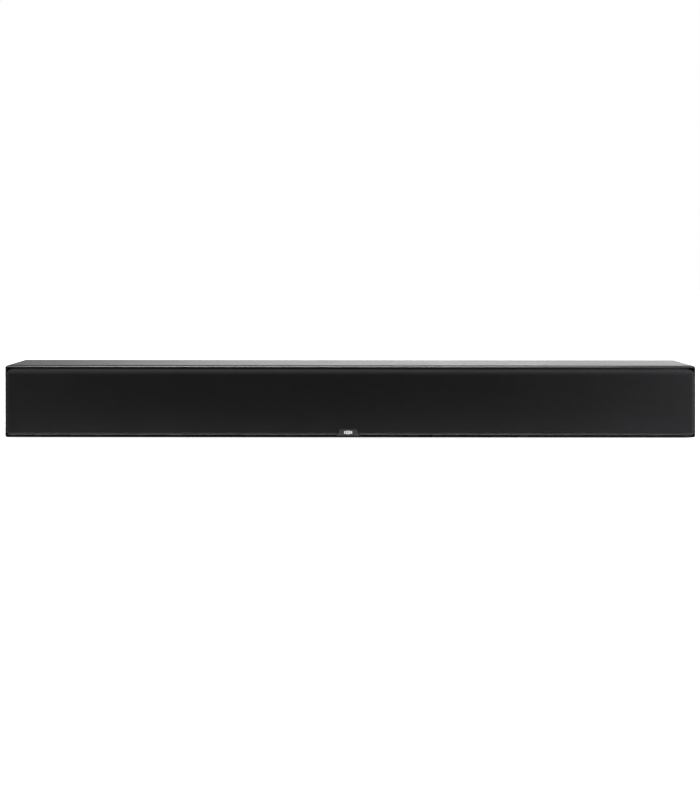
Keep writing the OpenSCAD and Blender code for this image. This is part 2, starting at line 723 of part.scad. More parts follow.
module tweeter_dome() {
    translate([0, 0, dome_z]) cap(dome_r, dome_h, 0.4);
    ring(dome_r - 0.4, dome_r, dome_z - 4.5, dome_z + 0.2);
}

// ---------- grille ----------

module peg_places() {
    for (x = peg_xs, side = [-1, 1]) facing_back(x, grille_back_y, axis_z + side * peg_dz) children();
}

// The moulded frame: a rail round the edge, ribs between the drivers and pegs at the back.
module grille_frame() {
    window_h = frame_h - 2 * rail_w;
    end_x = frame_w / 2 - 18;
    color([0.08, 0.08, 0.08]) {
        difference() {
            facing_front(y = grille_back_y)
                rounded_slab(frame_w, frame_h, grille_back_y - frame_front_y,
                             grille_corner_r - cloth_t, grille_edge_r - cloth_t);
            box_between([-end_x, frame_front_y - eps, axis_z - window_h / 2],
                        [end_x, grille_back_y + eps, axis_z + window_h / 2]);
        }
        for (x = rib_xs)
            box_between([x - 3, frame_front_y + 3, axis_z - window_h / 2 - 1],
                        [x + 3, grille_back_y - 2, axis_z + window_h / 2 + 1]);
        peg_places() {
            translate([0, 0, -1]) cylinder(r = peg_r, h = peg_length);
            translate([0, 0, peg_length - 1]) cylinder(r1 = peg_r, r2 = peg_r - 1.2, h = 1.2);
        }
    }
}

// Cloth stretched over the frame's face and down its sides.
module grille_cloth() {
    depth = grille_back_y - grille_front_y;
    color([0.02, 0.02, 0.022]) difference() {
        facing_front(y = grille_back_y)
            rounded_slab(grille_w, grille_h, depth, grille_corner_r, grille_edge_r);
        facing_front(y = grille_back_y) translate([0, 0, -eps])
            rounded_slab(frame_w + 2 * gap, frame_h + 2 * gap, depth + eps - cloth_t,
                         grille_corner_r - cloth_t + gap, grille_edge_r - cloth_t);
    }
}

// A small plate with raised level bars, at the grille's lower edge. Its back follows the cloth's edge.
module grille_badge() {
    low_z = axis_z - grille_h / 2;
    color([0.05, 0.05, 0.05]) difference() {
        facing_front(badge_x, grille_front_y + badge_reach, low_z)
            linear_extrude(badge_reach + badge_t - 0.2)
                polygon([[-badge_w / 2, badge_low], [badge_w / 2, badge_low],
                         [badge_top_w / 2, badge_top], [-badge_top_w / 2, badge_top]]);
        facing_front(y = grille_back_y)
            rounded_slab(grille_w + 2 * gap, grille_h + 2 * gap, grille_back_y - grille_front_y + gap,
                         grille_corner_r, grille_edge_r);
    }
    color([0.9, 0.9, 0.9])
        facing_front(badge_x, grille_front_y - badge_t + 0.25, low_z + bar_middle)
            for (i = [0:len(bar_heights) - 1])
                translate([(i - (len(bar_heights) - 1) / 2) * bar_pitch - bar_w / 2, -bar_heights[i] / 2, 0])
                    cube([bar_w, bar_heights[i], 0.25]);
}

// Rubber cups in the baffle that grip the pegs.
module peg_sockets() {
    color([0.1, 0.1, 0.1]) for (x = peg_xs, side = [-1, 1])
        facing_front(x, z = axis_z + side * peg_dz) difference() {
            union() {
                translate([0, 0, -socket_depth]) cylinder(r = socket_r, h = socket_depth + gap);
                translate([0, 0, gap]) cylinder(r = 6.3, h = 0.9);
            }
            translate([0, 0, 1 - socket_depth]) cylinder(r = peg_r + gap, h = socket_depth + 2);
        }
}

// ---------- one line for each node ----------

cabinet_shell();
front_baffle();
rear_panel();
chamber_dividers();
rear_gasket();
rear_panel_screws();
rubber_feet();
keyhole_hangers();
bracket_inserts();
terminal_cup();
terminal_contacts();
crossover_boards();
crossover_components();
wiring_loom();
damping_wadding();
peg_sockets();
woofer_baskets();
woofer_magnets();
woofer_pole_plates();
woofer_spiders();
driver_screws();
tweeter_faceplates();
tweeter_motors();
tweeter_surrounds();
grille_frame();
grille_cloth();
grille_badge();
for (i = [1:6]) {
    color([0.06, 0.06, 0.06]) facing_front(woofer_xs[i - 1]) woofer_surround();
    color([0.3, 0.3, 0.32]) facing_front(woofer_xs[i - 1]) woofer_cone();
    color([0.3, 0.3, 0.32]) facing_front(woofer_xs[i - 1]) woofer_dust_cap();
    color([0.72, 0.4, 0.2]) facing_front(woofer_xs[i - 1]) woofer_voice_coil();
    terminal_lever(i);
}
for (i = [1:3])
    color([0.04, 0.04, 0.045]) facing_front(tweeter_xs[i - 1]) tweeter_dome();
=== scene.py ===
"""Looks of the soundbar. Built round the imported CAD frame, in metres: X right, Y to the back, Z up.

Driver parts are drawn in a driver's own millimetres, with Z towards the listener and zero at the
baffle's face.
"""
import math

import bmesh
import bpy
from mathutils import Matrix, Vector, noise as turbulence
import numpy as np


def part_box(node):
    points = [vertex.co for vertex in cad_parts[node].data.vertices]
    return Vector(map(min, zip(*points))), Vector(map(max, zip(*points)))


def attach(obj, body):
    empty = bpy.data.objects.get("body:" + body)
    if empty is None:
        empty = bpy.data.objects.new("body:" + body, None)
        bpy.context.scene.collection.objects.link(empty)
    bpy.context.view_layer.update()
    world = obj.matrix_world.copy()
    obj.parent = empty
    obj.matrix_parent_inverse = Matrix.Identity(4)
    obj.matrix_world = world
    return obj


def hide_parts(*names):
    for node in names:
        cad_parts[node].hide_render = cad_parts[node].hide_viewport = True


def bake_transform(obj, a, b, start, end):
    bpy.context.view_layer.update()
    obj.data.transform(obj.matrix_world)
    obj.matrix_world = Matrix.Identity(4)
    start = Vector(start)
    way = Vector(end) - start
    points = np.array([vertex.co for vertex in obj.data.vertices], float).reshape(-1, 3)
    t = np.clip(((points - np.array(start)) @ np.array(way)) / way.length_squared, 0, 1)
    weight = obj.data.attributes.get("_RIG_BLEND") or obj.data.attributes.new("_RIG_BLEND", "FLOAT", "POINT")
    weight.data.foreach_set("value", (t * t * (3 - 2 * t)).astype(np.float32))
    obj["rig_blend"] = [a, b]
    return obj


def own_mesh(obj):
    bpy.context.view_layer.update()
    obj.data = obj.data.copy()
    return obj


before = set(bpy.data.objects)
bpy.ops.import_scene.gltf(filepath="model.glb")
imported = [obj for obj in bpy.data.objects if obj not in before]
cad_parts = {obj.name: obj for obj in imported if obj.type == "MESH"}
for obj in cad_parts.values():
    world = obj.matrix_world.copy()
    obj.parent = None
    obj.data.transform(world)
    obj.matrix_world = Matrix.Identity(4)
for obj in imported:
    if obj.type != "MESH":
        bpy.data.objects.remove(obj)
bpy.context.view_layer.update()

MM = 0.001
LEVERS = range(1, 7)


# ---------- places, read from the frame ----------

def middle_of(node):
    low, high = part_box(node)
    return (low + high) / 2


SHELL_LOW, SHELL_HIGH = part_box("cabinet_shell")
SHELL_MIDDLE = (SHELL_LOW + SHELL_HIGH) / 2
SHELL_SIZE = SHELL_HIGH - SHELL_LOW
RIM_Y, BACK_Y = SHELL_LOW.y, SHELL_HIGH.y
BAFFLE_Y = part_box("front_baffle")[0].y
CLOTH_LOW, CLOTH_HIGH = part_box("grille_cloth")
AXIS_Z = middle_of("woofer_1_cone").z
WOOFER_XS = [middle_of(f"woofer_{i}_cone").x for i in range(1, 7)]
TWEETER_XS = [middle_of(f"tweeter_{i}_dome").x for i in range(1, 4)]
GRILLE_EDGE_R = 8 * MM   # how the grille's front edges are rounded


def islands(node):
    """The lowest and highest corners of each separate solid of a CAD node, from left to right."""
    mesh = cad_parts[node].data
    places = {}
    same = [places.setdefault(tuple(round(c, 6) for c in v.co), v.index) for v in mesh.vertices]
    root = list(range(len(mesh.vertices)))

    def find(i):
        while root[i] != i:
            root[i] = root[root[i]]
            i = root[i]
        return i

    for face in mesh.polygons:
        first = find(same[face.vertices[0]])
        for i in face.vertices[1:]:
            root[find(same[i])] = first
    groups = {}
    for vertex in mesh.vertices:
        groups.setdefault(find(same[vertex.index]), []).append(vertex.co)
    boxes = [(Vector(map(min, zip(*group))), Vector(map(max, zip(*group)))) for group in groups.values()]
    return sorted(boxes, key=lambda box: (round(box[0].x, 4), round(box[0].z, 4)))


def flat(low, high):
    """X and Z of the middle of a box."""
    return (low.x + high.x) / 2, (low.z + high.z) / 2


# ---------- outlines ----------

def arc(centre, radius, start, end, steps):
    """Points on an arc from start to end, in degrees."""
    angles = [math.radians(start + (end - start) * i / steps) for i in range(steps + 1)]
    return [(centre[0] + radius * math.cos(a), centre[1] + radius * math.sin(a)) for a in angles]


def circle(x, z, radius, steps=96):
    return [(x + radius * math.cos(2 * math.pi * i / steps), z + radius * math.sin(2 * math.pi * i / steps))
            for i in range(steps)]


def rounded(points, radius, steps=3):
    """A closed outline with each corner rounded. A point may carry its own radius as a third number."""
    made = []
    for i, point in enumerate(points):
        r = point[2] if len(point) > 2 else radius
        here = Vector(point[:2])
        before = Vector(points[i - 1][:2]) - here
        after = Vector(points[(i + 1) % len(points)][:2]) - here
        if r <= 0:
            made.append(tuple(here))
            continue
        half = before.angle(after) / 2
        reach = min(r / math.tan(half), before.length * 0.45, after.length * 0.45)
        a, b = here + before.normalized() * reach, here + after.normalized() * reach
        for k in range(steps + 1):
            t = k / steps
            made.append(tuple(a * (1 - t) ** 2 + here * 2 * t * (1 - t) + b * t * t))
    return made


def rounded_rectangle(width, height, radius, steps=8, across=1, up=1):
    """A rectangle about the origin with round corners, whose sides are cut into across and up parts."""
    r = max(radius, 1e-6)
    x, z = width / 2 - r, height / 2 - r
    corners = [(x, z, across), (-x, z, up), (-x, -z, across), (x, -z, up)]
    next_starts = [(-x, z + r), (-x - r, -z), (x, -z - r), (x + r, z)]
    points = []
    for quarter, (cx, cz, parts) in enumerate(corners):
        corner = arc((cx, cz), r, quarter * 90, quarter * 90 + 90, steps)
        points += corner
        nx, nz = next_starts[quarter]
        last = corner[-1]
        points += [(last[0] + (nx - last[0]) * k / parts, last[1] + (nz - last[1]) * k / parts)
                   for k in range(1, parts)]
    return points


# ---------- meshes ----------

def put(name, data):
    """A new object in the scene."""
    thing = bpy.data.objects.new(name, data)
    bpy.context.scene.collection.objects.link(thing)
    return thing


def new_object(name, mesh, smooth=30):
    """A new object of a mesh, shaded smooth but for edges sharper than smooth degrees."""
    mesh.shade_smooth()
    mesh.set_sharp_from_angle(angle=math.radians(smooth))
    return put(name, mesh)


def shown(piece):
    """A new mesh of what an object shows with its modifiers."""
    depsgraph = bpy.context.evaluated_depsgraph_get()
    return bpy.data.meshes.new_from_object(piece.evaluated_get(depsgraph), depsgraph=depsgraph)


def filled(mesh, shape):
    """The mesh, filled from a bmesh."""
    shape.to_mesh(mesh)
    shape.free()
    return mesh


def mesh_from(name, vertices, faces, merge=1e-6):
    """A mesh with doubled points merged and its faces turned outwards."""
    mesh = bpy.data.meshes.new(name)
    mesh.from_pydata(vertices, [], faces)
    shape = bmesh.new()
    shape.from_mesh(mesh)
    bmesh.ops.remove_doubles(shape, verts=shape.verts, dist=merge)
    bmesh.ops.dissolve_degenerate(shape, edges=shape.edges, dist=merge)
    bmesh.ops.recalc_face_normals(shape, faces=shape.faces)
    return filled(mesh, shape)


def loft(rings, closed=False):
    """Vertices and quads through rings of equally many points. If closed, the last ring joins the first."""
    n = len(rings[0])
    faces = []
    for i in range(len(rings) if closed else len(rings) - 1):
        a, b = i * n, ((i + 1) % len(rings)) * n
        faces += [(a + k, a + (k + 1) % n, b + (k + 1) % n, b + k) for k in range(n)]
    return [p for ring in rings for p in ring], faces


def lathe(name, outline, turns=96, scale=MM):
    """A mesh turned about Z from a closed outline of (radius, height)."""
    rings = []
    for i in range(turns):
        a = 2 * math.pi * i / turns
        rings.append([(r * math.cos(a) * scale, r * math.sin(a) * scale, z * scale) for r, z in outline])
    return mesh_from(name, *loft(rings, closed=True), merge=1e-7)


def box_mesh(name, low, high, bevel=0.0, steps=2):
    """A box between two corners with bevelled edges."""
    shape = bmesh.new()
    bmesh.ops.create_cube(shape, size=1)
    low, high = Vector(low), Vector(high)
    bmesh.ops.scale(shape, vec=high - low, verts=shape.verts)
    bmesh.ops.translate(shape, vec=(low + high) / 2, verts=shape.verts)
    if bevel:
        bmesh.ops.bevel(shape, geom=shape.edges[:], offset=bevel, segments=steps, affect="EDGES",
                        profile=0.5)
    return filled(bpy.data.meshes.new(name), shape)


def joined(name, parts):
    """One mesh from (mesh, matrix) pairs."""
    shape = bmesh.new()
    for mesh, matrix in parts:
        placed = mesh.copy()
        placed.transform(matrix)
        shape.from_mesh(placed)
        bpy.data.meshes.remove(placed)
    return filled(bpy.data.meshes.new(name), shape)


def copies(name, mesh, places):
    """A new object made of copies of a mesh, one at each matrix."""
    return new_object(name, joined(name, [(mesh, place) for place in places]))


def cut(mesh, cutters):
    """The mesh with each cutter mesh taken out of it."""
    body = put("body", mesh)
    tools = [put("tool", cutter) for cutter in cutters]
    for tool in tools:
        modifier = body.modifiers.new("cut", "BOOLEAN")
        modifier.operation, modifier.solver, modifier.object = "DIFFERENCE", "EXACT", tool
    result = shown(body)
    for piece in [body, *tools]:
        bpy.data.objects.remove(piece)
    return result


def plate(name, outer, holes, y0, y1, bevel=0.0):
    """A plate from y0 to y1 with an outer outline and holes, each a list of (x, z) points in metres."""
    curve = bpy.data.curves.new(name, "CURVE")
    curve.dimensions, curve.fill_mode = "2D", "BOTH"
    curve.extrude = (y1 - y0) / 2 - bevel
    curve.bevel_depth, curve.bevel_resolution, curve.offset = bevel, 2, -bevel
    for points in [outer, *holes]:
        spline = curve.splines.new("POLY")
        spline.points.add(len(points) - 1)
        for point, (x, z) in zip(spline.points, points):
            point.co = (x, z, 0, 1)
        spline.use_cyclic_u = True
    piece = put(name, curve)
    mesh = shown(piece)
    bpy.data.objects.remove(piece)
    mesh.transform(Matrix.Translation((0, (y0 + y1) / 2, 0)) @ Matrix.Rotation(math.radians(90), 4, "X"))
    shape = bmesh.new()
    shape.from_mesh(mesh)
    bmesh.ops.remove_doubles(shape, verts=shape.verts, dist=1e-6)
    bmesh.ops.recalc_face_normals(shape, faces=shape.faces)
    return filled(mesh, shape)


def even_shading(piece):
    """Lets each large flat face keep its own normal right up to its rounded edges."""
    piece.modifiers.new("even_shading", "WEIGHTED_NORMAL").keep_sharp = True
    return piece


# ---------- materials ----------

def node_material(name):
    mat = bpy.data.materials.new(name)
    mat.use_nodes = True
    return mat, mat.node_tree.nodes, mat.node_tree.links, mat.node_tree.nodes["Principled BSDF"]


def set_inputs(node, **values):
    """Sets a node's inputs. Each space in a name is written as _."""
    for socket, value in values.items():
        node.inputs[socket.replace("_", " ")].default_value = value


def noise(nodes, links, scale, detail=3, stretch=(1, 1, 1)):
    """Noise in the object's own metres."""
    where = nodes.new("ShaderNodeTexCoord")
    mapping = nodes.new("ShaderNodeMapping")
    set_inputs(mapping, Scale=stretch)
    texture = nodes.new("ShaderNodeTexNoise")
    set_inputs(texture, Scale=scale, Detail=detail, Roughness=0.55)
    links.new(where.outputs["Object"], mapping.inputs["Vector"])
    links.new(mapping.outputs["Vector"], texture.inputs["Vector"])
    return texture.outputs["Fac"]


def spread(nodes, links, value, low, high, start=0.3, end=0.7):
    """value, from start to end, mapped on to low to high."""
    mapped = nodes.new("ShaderNodeMapRange")
    mapped.interpolation_type = "SMOOTHSTEP"
    set_inputs(mapped, From_Min=start, From_Max=end, To_Min=low, To_Max=high)
    links.new(value, mapped.inputs["Value"])
    return mapped.outputs["Result"]


def shade_between(nodes, links, factor, dark, light):
    """A colour between dark and light."""
    mix = nodes.new("ShaderNodeMix")
    mix.data_type = "RGBA"
    set_inputs(mix, A=(*dark, 1), B=(*light, 1))
    links.new(factor, mix.inputs["Factor"])
    return mix.outputs["Result"]


def maths(nodes, links, operation, *values):
    """A sum done by a node on numbers and sockets."""
    node = nodes.new("ShaderNodeMath")
    node.operation = operation
    for socket, value in zip(node.inputs, values):
        if isinstance(value, (int, float)):
            socket.default_value = value
        else:
            links.new(value, socket)
    return node.outputs[0]


def bump(nodes, links, height, depth, after=None):
    """A normal raised by height, depth metres deep, on top of the normal after."""
    node = nodes.new("ShaderNodeBump")
    set_inputs(node, Distance=depth, Strength=1)
    links.new(height, node.inputs["Height"])
    if after is not None:
        links.new(after, node.inputs["Normal"])
    return node.outputs["Normal"]


def surface(name, colour, roughness, grain=900, depth=0.00004, vary=0.12, rough_vary=0.06, patch=9,
            stretch=(1, 1, 1), **sockets):
    """A finish with fine grain and slow patches of tone and roughness. sockets sets more of the shader."""
    mat, nodes, links, shader = node_material(name)
    fine = noise(nodes, links, grain, stretch=stretch)
    slow = noise(nodes, links, patch, detail=2)
    dark = [c * (1 - vary) for c in colour]
    light = [min(1, c * (1 + vary)) for c in colour]
    shade = shade_between(nodes, links, spread(nodes, links, slow, 0, 1), dark, light)
    gloss = spread(nodes, links, slow, roughness - rough_vary, roughness + rough_vary)
    links.new(shade, shader.inputs["Base Color"])
    links.new(gloss, shader.inputs["Roughness"])
    links.new(bump(nodes, links, fine, depth), shader.inputs["Normal"])
    set_inputs(shader, **sockets)
    return mat


def woven_cloth(name, colour, pitch, depth, edge_r=0, edge_y=1, roughness=0.9, sheen=0.2):
    """Plain weave on a cloth stretched over a panel that faces Y.

    The panel's edges are rounded to the radius edge_r, and behind edge_y the threads run straight back.
    """
    mat, nodes, links, shader = node_material(name)
    where = nodes.new("ShaderNodeTexCoord")
    place = nodes.new("ShaderNodeSeparateXYZ")
    facing = nodes.new("ShaderNodeSeparateXYZ")
    links.new(where.outputs["Object"], place.inputs[0])
    links.new(where.outputs["Normal"], facing.inputs[0])

    waves = []
    behind = maths(nodes, links, "MAXIMUM", maths(nodes, links, "SUBTRACT", place.outputs["Y"], edge_y), 0)
    for along in "XZ":
        tilt = facing.outputs[along]
        bend = maths(nodes, links, "SUBTRACT", maths(nodes, links, "ARCSINE", tilt), tilt)
        run = maths(nodes, links, "MULTIPLY_ADD", bend, edge_r, place.outputs[along])
        run = maths(nodes, links, "MULTIPLY_ADD", behind, tilt, run)
        waves.append(maths(nodes, links, "SINE", maths(nodes, links, "MULTIPLY", run, 2 * math.pi / pitch)))
    crossing = maths(nodes, links, "MULTIPLY", *waves)
    weave = maths(nodes, links, "MULTIPLY_ADD", crossing, 0.5, 0.5)
    fibre = noise(nodes, links, 2500, detail=2)
    cloud = noise(nodes, links, 14, detail=3)
    dark = [c * 0.72 for c in colour]
    tone = maths(nodes, links, "MULTIPLY_ADD", weave, 0.75, spread(nodes, links, cloud, 0, 0.25))
    gloss = spread(nodes, links, fibre, roughness - 0.05, min(1, roughness + 0.05))
    links.new(shade_between(nodes, links, tone, dark, colour), shader.inputs["Base Color"])
    links.new(gloss, shader.inputs["Roughness"])
    threads = bump(nodes, links, weave, depth)
    links.new(bump(nodes, links, fibre, depth * 0.4, after=threads), shader.inputs["Normal"])
    set_inputs(shader, Sheen_Weight=sheen, Sheen_Roughness=0.5, Specular_IOR_Level=0.05)
    return mat


BLACK_MOULDED = surface("black_moulded", (0.022, 0.022, 0.023), 0.27, grain=1500, depth=0.00003, vary=0.08,
                        rough_vary=0.015, patch=4)
BLACK_TERMINAL = surface("black_terminal", (0.022, 0.022, 0.023), 0.42, grain=1300, depth=0.00003)
GRILLE_CLOTH = woven_cloth("grille_cloth", (0.014, 0.014, 0.015), 0.0011, 0.00018, GRILLE_EDGE_R,
                           CLOTH_LOW.y + GRILLE_EDGE_R, sheen=0.01)
FRAME_PLASTIC = surface("frame_plastic", (0.03, 0.03, 0.03), 0.5, grain=1100)
BADGE_PLATE = surface("badge_plate", (0.013, 0.013, 0.0135), 0.48, grain=1800, depth=0.00001)
BADGE_BARS = surface("badge_bars", (0.62, 0.62, 0.63), 0.4, grain=1600, depth=0.00001, vary=0.04)
BAFFLE_PAINT = surface("baffle_paint", (0.03, 0.03, 0.031), 0.55, grain=700, depth=0.00008, vary=0.06,
                       rough_vary=0.02, stretch=(0.3, 1, 1))
FIBREBOARD = surface("fibreboard", (0.36, 0.24, 0.15), 0.7, grain=700, depth=0.00008, vary=0.25, patch=40,
                     stretch=(0.3, 1, 1))
BACK_PAINT = surface("back_paint", (0.024, 0.024, 0.025), 0.5, grain=900, depth=0.00006)
RUBBER = surface("rubber", (0.022, 0.022, 0.022), 0.62, grain=1400, depth=0.00004)
ROLL_RUBBER = surface("roll_rubber", (0.018, 0.018, 0.018), 0.45, grain=1600, depth=0.00002)
BASKET_PAINT = surface("basket_paint", (0.025, 0.025, 0.026), 0.42, grain=1200, depth=0.00003)
CONE_PULP = surface("cone_pulp", (0.035, 0.035, 0.037), 0.62, grain=900, depth=0.0001, vary=0.3, patch=60)
CAP_COATING = surface("cap_coating", (0.03, 0.03, 0.032), 0.3, grain=1300, depth=0.00002)
DOME_SILK = surface("dome_silk", (0.02, 0.02, 0.021), 0.4, grain=2400, depth=0.00005)
BLACK_OXIDE = surface("black_oxide", (0.05, 0.05, 0.052), 0.38, grain=1500, depth=0.00002, Metallic=1.0)
FERRITE = surface("ferrite", (0.09, 0.09, 0.095), 0.55, grain=800, depth=0.00006)
ZINC_STEEL = surface("zinc_steel", (0.55, 0.55, 0.56), 0.32, grain=700, depth=0.00002, Metallic=1.0)
CAST_ZINC = surface("cast_zinc", (0.3, 0.3, 0.31), 0.5, grain=500, depth=0.00005, Metallic=1.0)
BRASS = surface("brass", (0.8, 0.6, 0.28), 0.28, grain=900, depth=0.00002, Metallic=1.0)
COPPER = surface("copper", (0.72, 0.36, 0.2), 0.35, grain=1200, depth=0.00003, Metallic=1.0)
SPIDER_COTTON = woven_cloth("spider_cotton", (0.55, 0.4, 0.18), 0.0009, 0.0001)
LEVER_RED = surface("lever_red", (0.42, 0.012, 0.01), 0.3, grain=1500, depth=0.00001)
LEVER_BLACK = surface("lever_black", (0.02, 0.02, 0.02), 0.3, grain=1500, depth=0.00001)
BOARD_GREEN = surface("board_green", (0.03, 0.13, 0.05), 0.35, grain=900, depth=0.00002, vary=0.2)
VARNISH = surface("varnish", (0.5, 0.25, 0.1), 0.3, grain=1000, depth=0.00005, vary=0.25, patch=40)
LEAD_SHEATH = surface("lead_sheath", (0.3, 0.03, 0.025), 0.5, grain=1000)
WADDING = surface("wadding", (0.75, 0.75, 0.73), 0.95, grain=350, depth=0.001, patch=50, Sheen_Weight=0.4)
FOAM = surface("foam", (0.03, 0.03, 0.03), 0.9, grain=900, depth=0.0003)


def dress(piece, material, body, *replaced, slot=None):
    """Gives a piece its material and its body, and hides the CAD nodes that it stands for. slot is not used.
    """
    piece.data.materials.clear()
    piece.data.materials.append(material)
    if replaced:
        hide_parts(*replaced)
    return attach(piece, body)


def repaint(node, material):
    """A better material on a CAD node that stays."""
    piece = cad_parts[node]
    if not piece.material_slots:
        piece.data.materials.append(material)
    for slot in piece.material_slots:
        slot.material = material


# ---------- camera ----------

LENS = 41.04             # in millimetres
CAMERA_PLACE = (-0.0205, RIM_Y - 1.61, 0.305)
ROLL = -0.045            # in degrees
# The level camera's view is shifted, so that upright edges stay upright.
SHIFT = (0.0140, -0.1675)


def make_camera():
    data = bpy.data.cameras.new("camera")
    data.lens, data.sensor_width = LENS, 36
    data.shift_x, data.shift_y = SHIFT
    data.clip_start, data.clip_end = 0.05, 50
    camera = put("camera", data)
    camera.location = CAMERA_PLACE
    camera.rotation_euler = (math.radians(90), math.radians(ROLL), 0)
    bpy.context.scene.camera = camera


# ---------- floor and light ----------

FLOOR_HALF = 9
FLOOR_GLOW = 0.9


def make_floor():
    """A floor that is white to the eye. The light that it would throw back comes from the world instead."""
    mesh = bpy.data.meshes.new("floor")
    corners = [(x * FLOOR_HALF, y * FLOOR_HALF, 0) for x, y in ((-1, -1), (1, -1), (1, 1), (-1, 1))]
    mesh.from_pydata(corners, [], [(0, 1, 2, 3)])
    floor = put("floor", mesh)
    mat, _, _, shader = node_material("floor")
    set_inputs(shader, Base_Color=(0.85, 0.85, 0.85, 1), Roughness=0.9, Emission_Color=(1, 1, 1, 1),
               Emission_Strength=FLOOR_GLOW)
    mesh.materials.append(mat)
    floor.visible_diffuse = floor.visible_glossy = False


def area_light(name, place, target, size, energy):
    data = bpy.data.lights.new(name, "AREA")
    data.shape, data.size, data.size_y = "RECTANGLE", *size
    data.energy = energy
    light = put(name, data)
    light.location = place
    light.rotation_mode = "QUATERNION"
    light.rotation_quaternion = (Vector(target) - Vector(place)).to_track_quat("-Z", "Y")
    light.visible_camera = False
    return light


WALL_LIGHT = 0.2, 1.95        # the wall behind, from the left to the right
WALL_SPAN = -0.5, 0.12        # where in X that change lies
CEILING_DARK = 0.03           # what is left of the light above the wall
WALL_TOP = 0.12, 0.25         # where in Z the wall ends
WALL_FRONT = -0.1, 0.2        # where in Y the room in front turns into the wall
FRONT_LIGHT = 0.025, 0.29     # the room in front, from the middle to the sides
FRONT_MIDDLE = -0.05
FRONT_SPAN = 0.15, 0.5        # where in X, away from its middle, that change lies
FLOOR_LIGHT = 0.1


def make_world():
    """White where the camera looks.

    What shines on the bar is a room: a pale wall behind, brighter to the right and dark above, a front that
    is dim in the middle and paler at the sides, and the floor's light from below.
    """
    world = bpy.data.worlds.new("studio")
    bpy.context.scene.world = world
    world.use_nodes = True
    nodes, links = world.node_tree.nodes, world.node_tree.links
    room = nodes["Background"]
    white = nodes.new("ShaderNodeBackground")
    for background in (room, white):
        set_inputs(background, Color=(1, 1, 1, 1))
    where = nodes.new("ShaderNodeTexCoord")
    place = nodes.new("ShaderNodeSeparateXYZ")
    links.new(where.outputs["Generated"], place.inputs[0])
    wall = spread(nodes, links, place.outputs["X"], *WALL_LIGHT, *WALL_SPAN)
    low = spread(nodes, links, place.outputs["Z"], 1, CEILING_DARK, *WALL_TOP)
    behind = spread(nodes, links, place.outputs["Y"], 0, 1, *WALL_FRONT)
    aside = maths(nodes, links, "SUBTRACT", place.outputs["X"], FRONT_MIDDLE)
    aside = maths(nodes, links, "ABSOLUTE", aside)
    front = spread(nodes, links, aside, *FRONT_LIGHT, *FRONT_SPAN)
    below = spread(nodes, links, place.outputs["Z"], 1, 0, -0.1, 0)
    back_part = maths(nodes, links, "MULTIPLY", maths(nodes, links, "MULTIPLY", wall, low), behind)
    front_part = maths(nodes, links, "MULTIPLY", front, maths(nodes, links, "SUBTRACT", 1, behind))
    above = maths(nodes, links, "MULTIPLY", maths(nodes, links, "ADD", back_part, front_part),
                  maths(nodes, links, "SUBTRACT", 1, below))
    links.new(maths(nodes, links, "MULTIPLY_ADD", below, FLOOR_LIGHT, above), room.inputs["Strength"])
    light_path = nodes.new("ShaderNodeLightPath")
    mix = nodes.new("ShaderNodeMixShader")
    links.new(light_path.outputs["Is Camera Ray"], mix.inputs["Fac"])
    links.new(room.outputs[0], mix.inputs[1])
    links.new(white.outputs[0], mix.inputs[2])
    links.new(mix.outputs[0], nodes["World Output"].inputs["Surface"])


def make_lights():
    """The world, a long light overhead, a weak one in front, and one at each side for the cloth.

    Two thin ones on the floor light the foot of the grille and of the rim.
    """
    bpy.context.scene.view_settings.view_transform = "Standard"
    make_world()
    area_light("overhead", (-0.1, 0.02, 1.7), (-0.1, 0, 0.06), (2, 0.4), 64)
    area_light("front_top", (-0.1, -0.9, 1.3), (-0.05, 0, 0.06), (1.4, 0.25), 8)
    left = area_light("left", (-1.1, -0.3, 0.15), (-0.5, -0.05, 0.06), (0.3, 0.3), 5)
    right = area_light("right", (1.1, -0.3, 0.2), (0.4, -0.05, 0.06), (0.3, 0.3), 13)
    for light in (left, right):
        light.visible_glossy = False     # or the cabinet's glossy ends would show it
    area_light("foot", (0, RIM_Y - 0.04, 0.001), (0, RIM_Y - 0.04, 1), (1.2, 0.03), 0.32)
    edge = area_light("foot_edge", (0, RIM_Y - 0.009, 0.001), (0, RIM_Y - 0.009, 1), (1.22, 0.008), 0.15)
    edge.data.spread = math.radians(50)


# ---------- cabinet ----------

WALL = 3 * MM
CORNER_R = 4 * MM
INNER_CORNER_R = 0.4 * MM
# The front rim's rounding, across the wall and along Y
TOP_ROUND = 3 * MM, 8 * MM
SIDE_ROUND = 2.5 * MM, 2.5 * MM
LIP_R = 0.4 * MM
BACK_R = 1 * MM
# How far each ledge stands inwards, and its span along Y
FRONT_LEDGE = 6 * MM, RIM_Y + 16 * MM, RIM_Y + 20 * MM
REAR_LEDGE = 8 * MM, BACK_Y - 16 * MM, BACK_Y - 8 * MM


def shell_ring(inset, y, radius):
    """The shell's outline, inset all round, at depth y."""
    points = rounded_rectangle(SHELL_SIZE.x - 2 * inset, SHELL_SIZE.z - 2 * inset, radius)
    return [(SHELL_MIDDLE.x + x, y, SHELL_MIDDLE.z + z) for x, z in points]


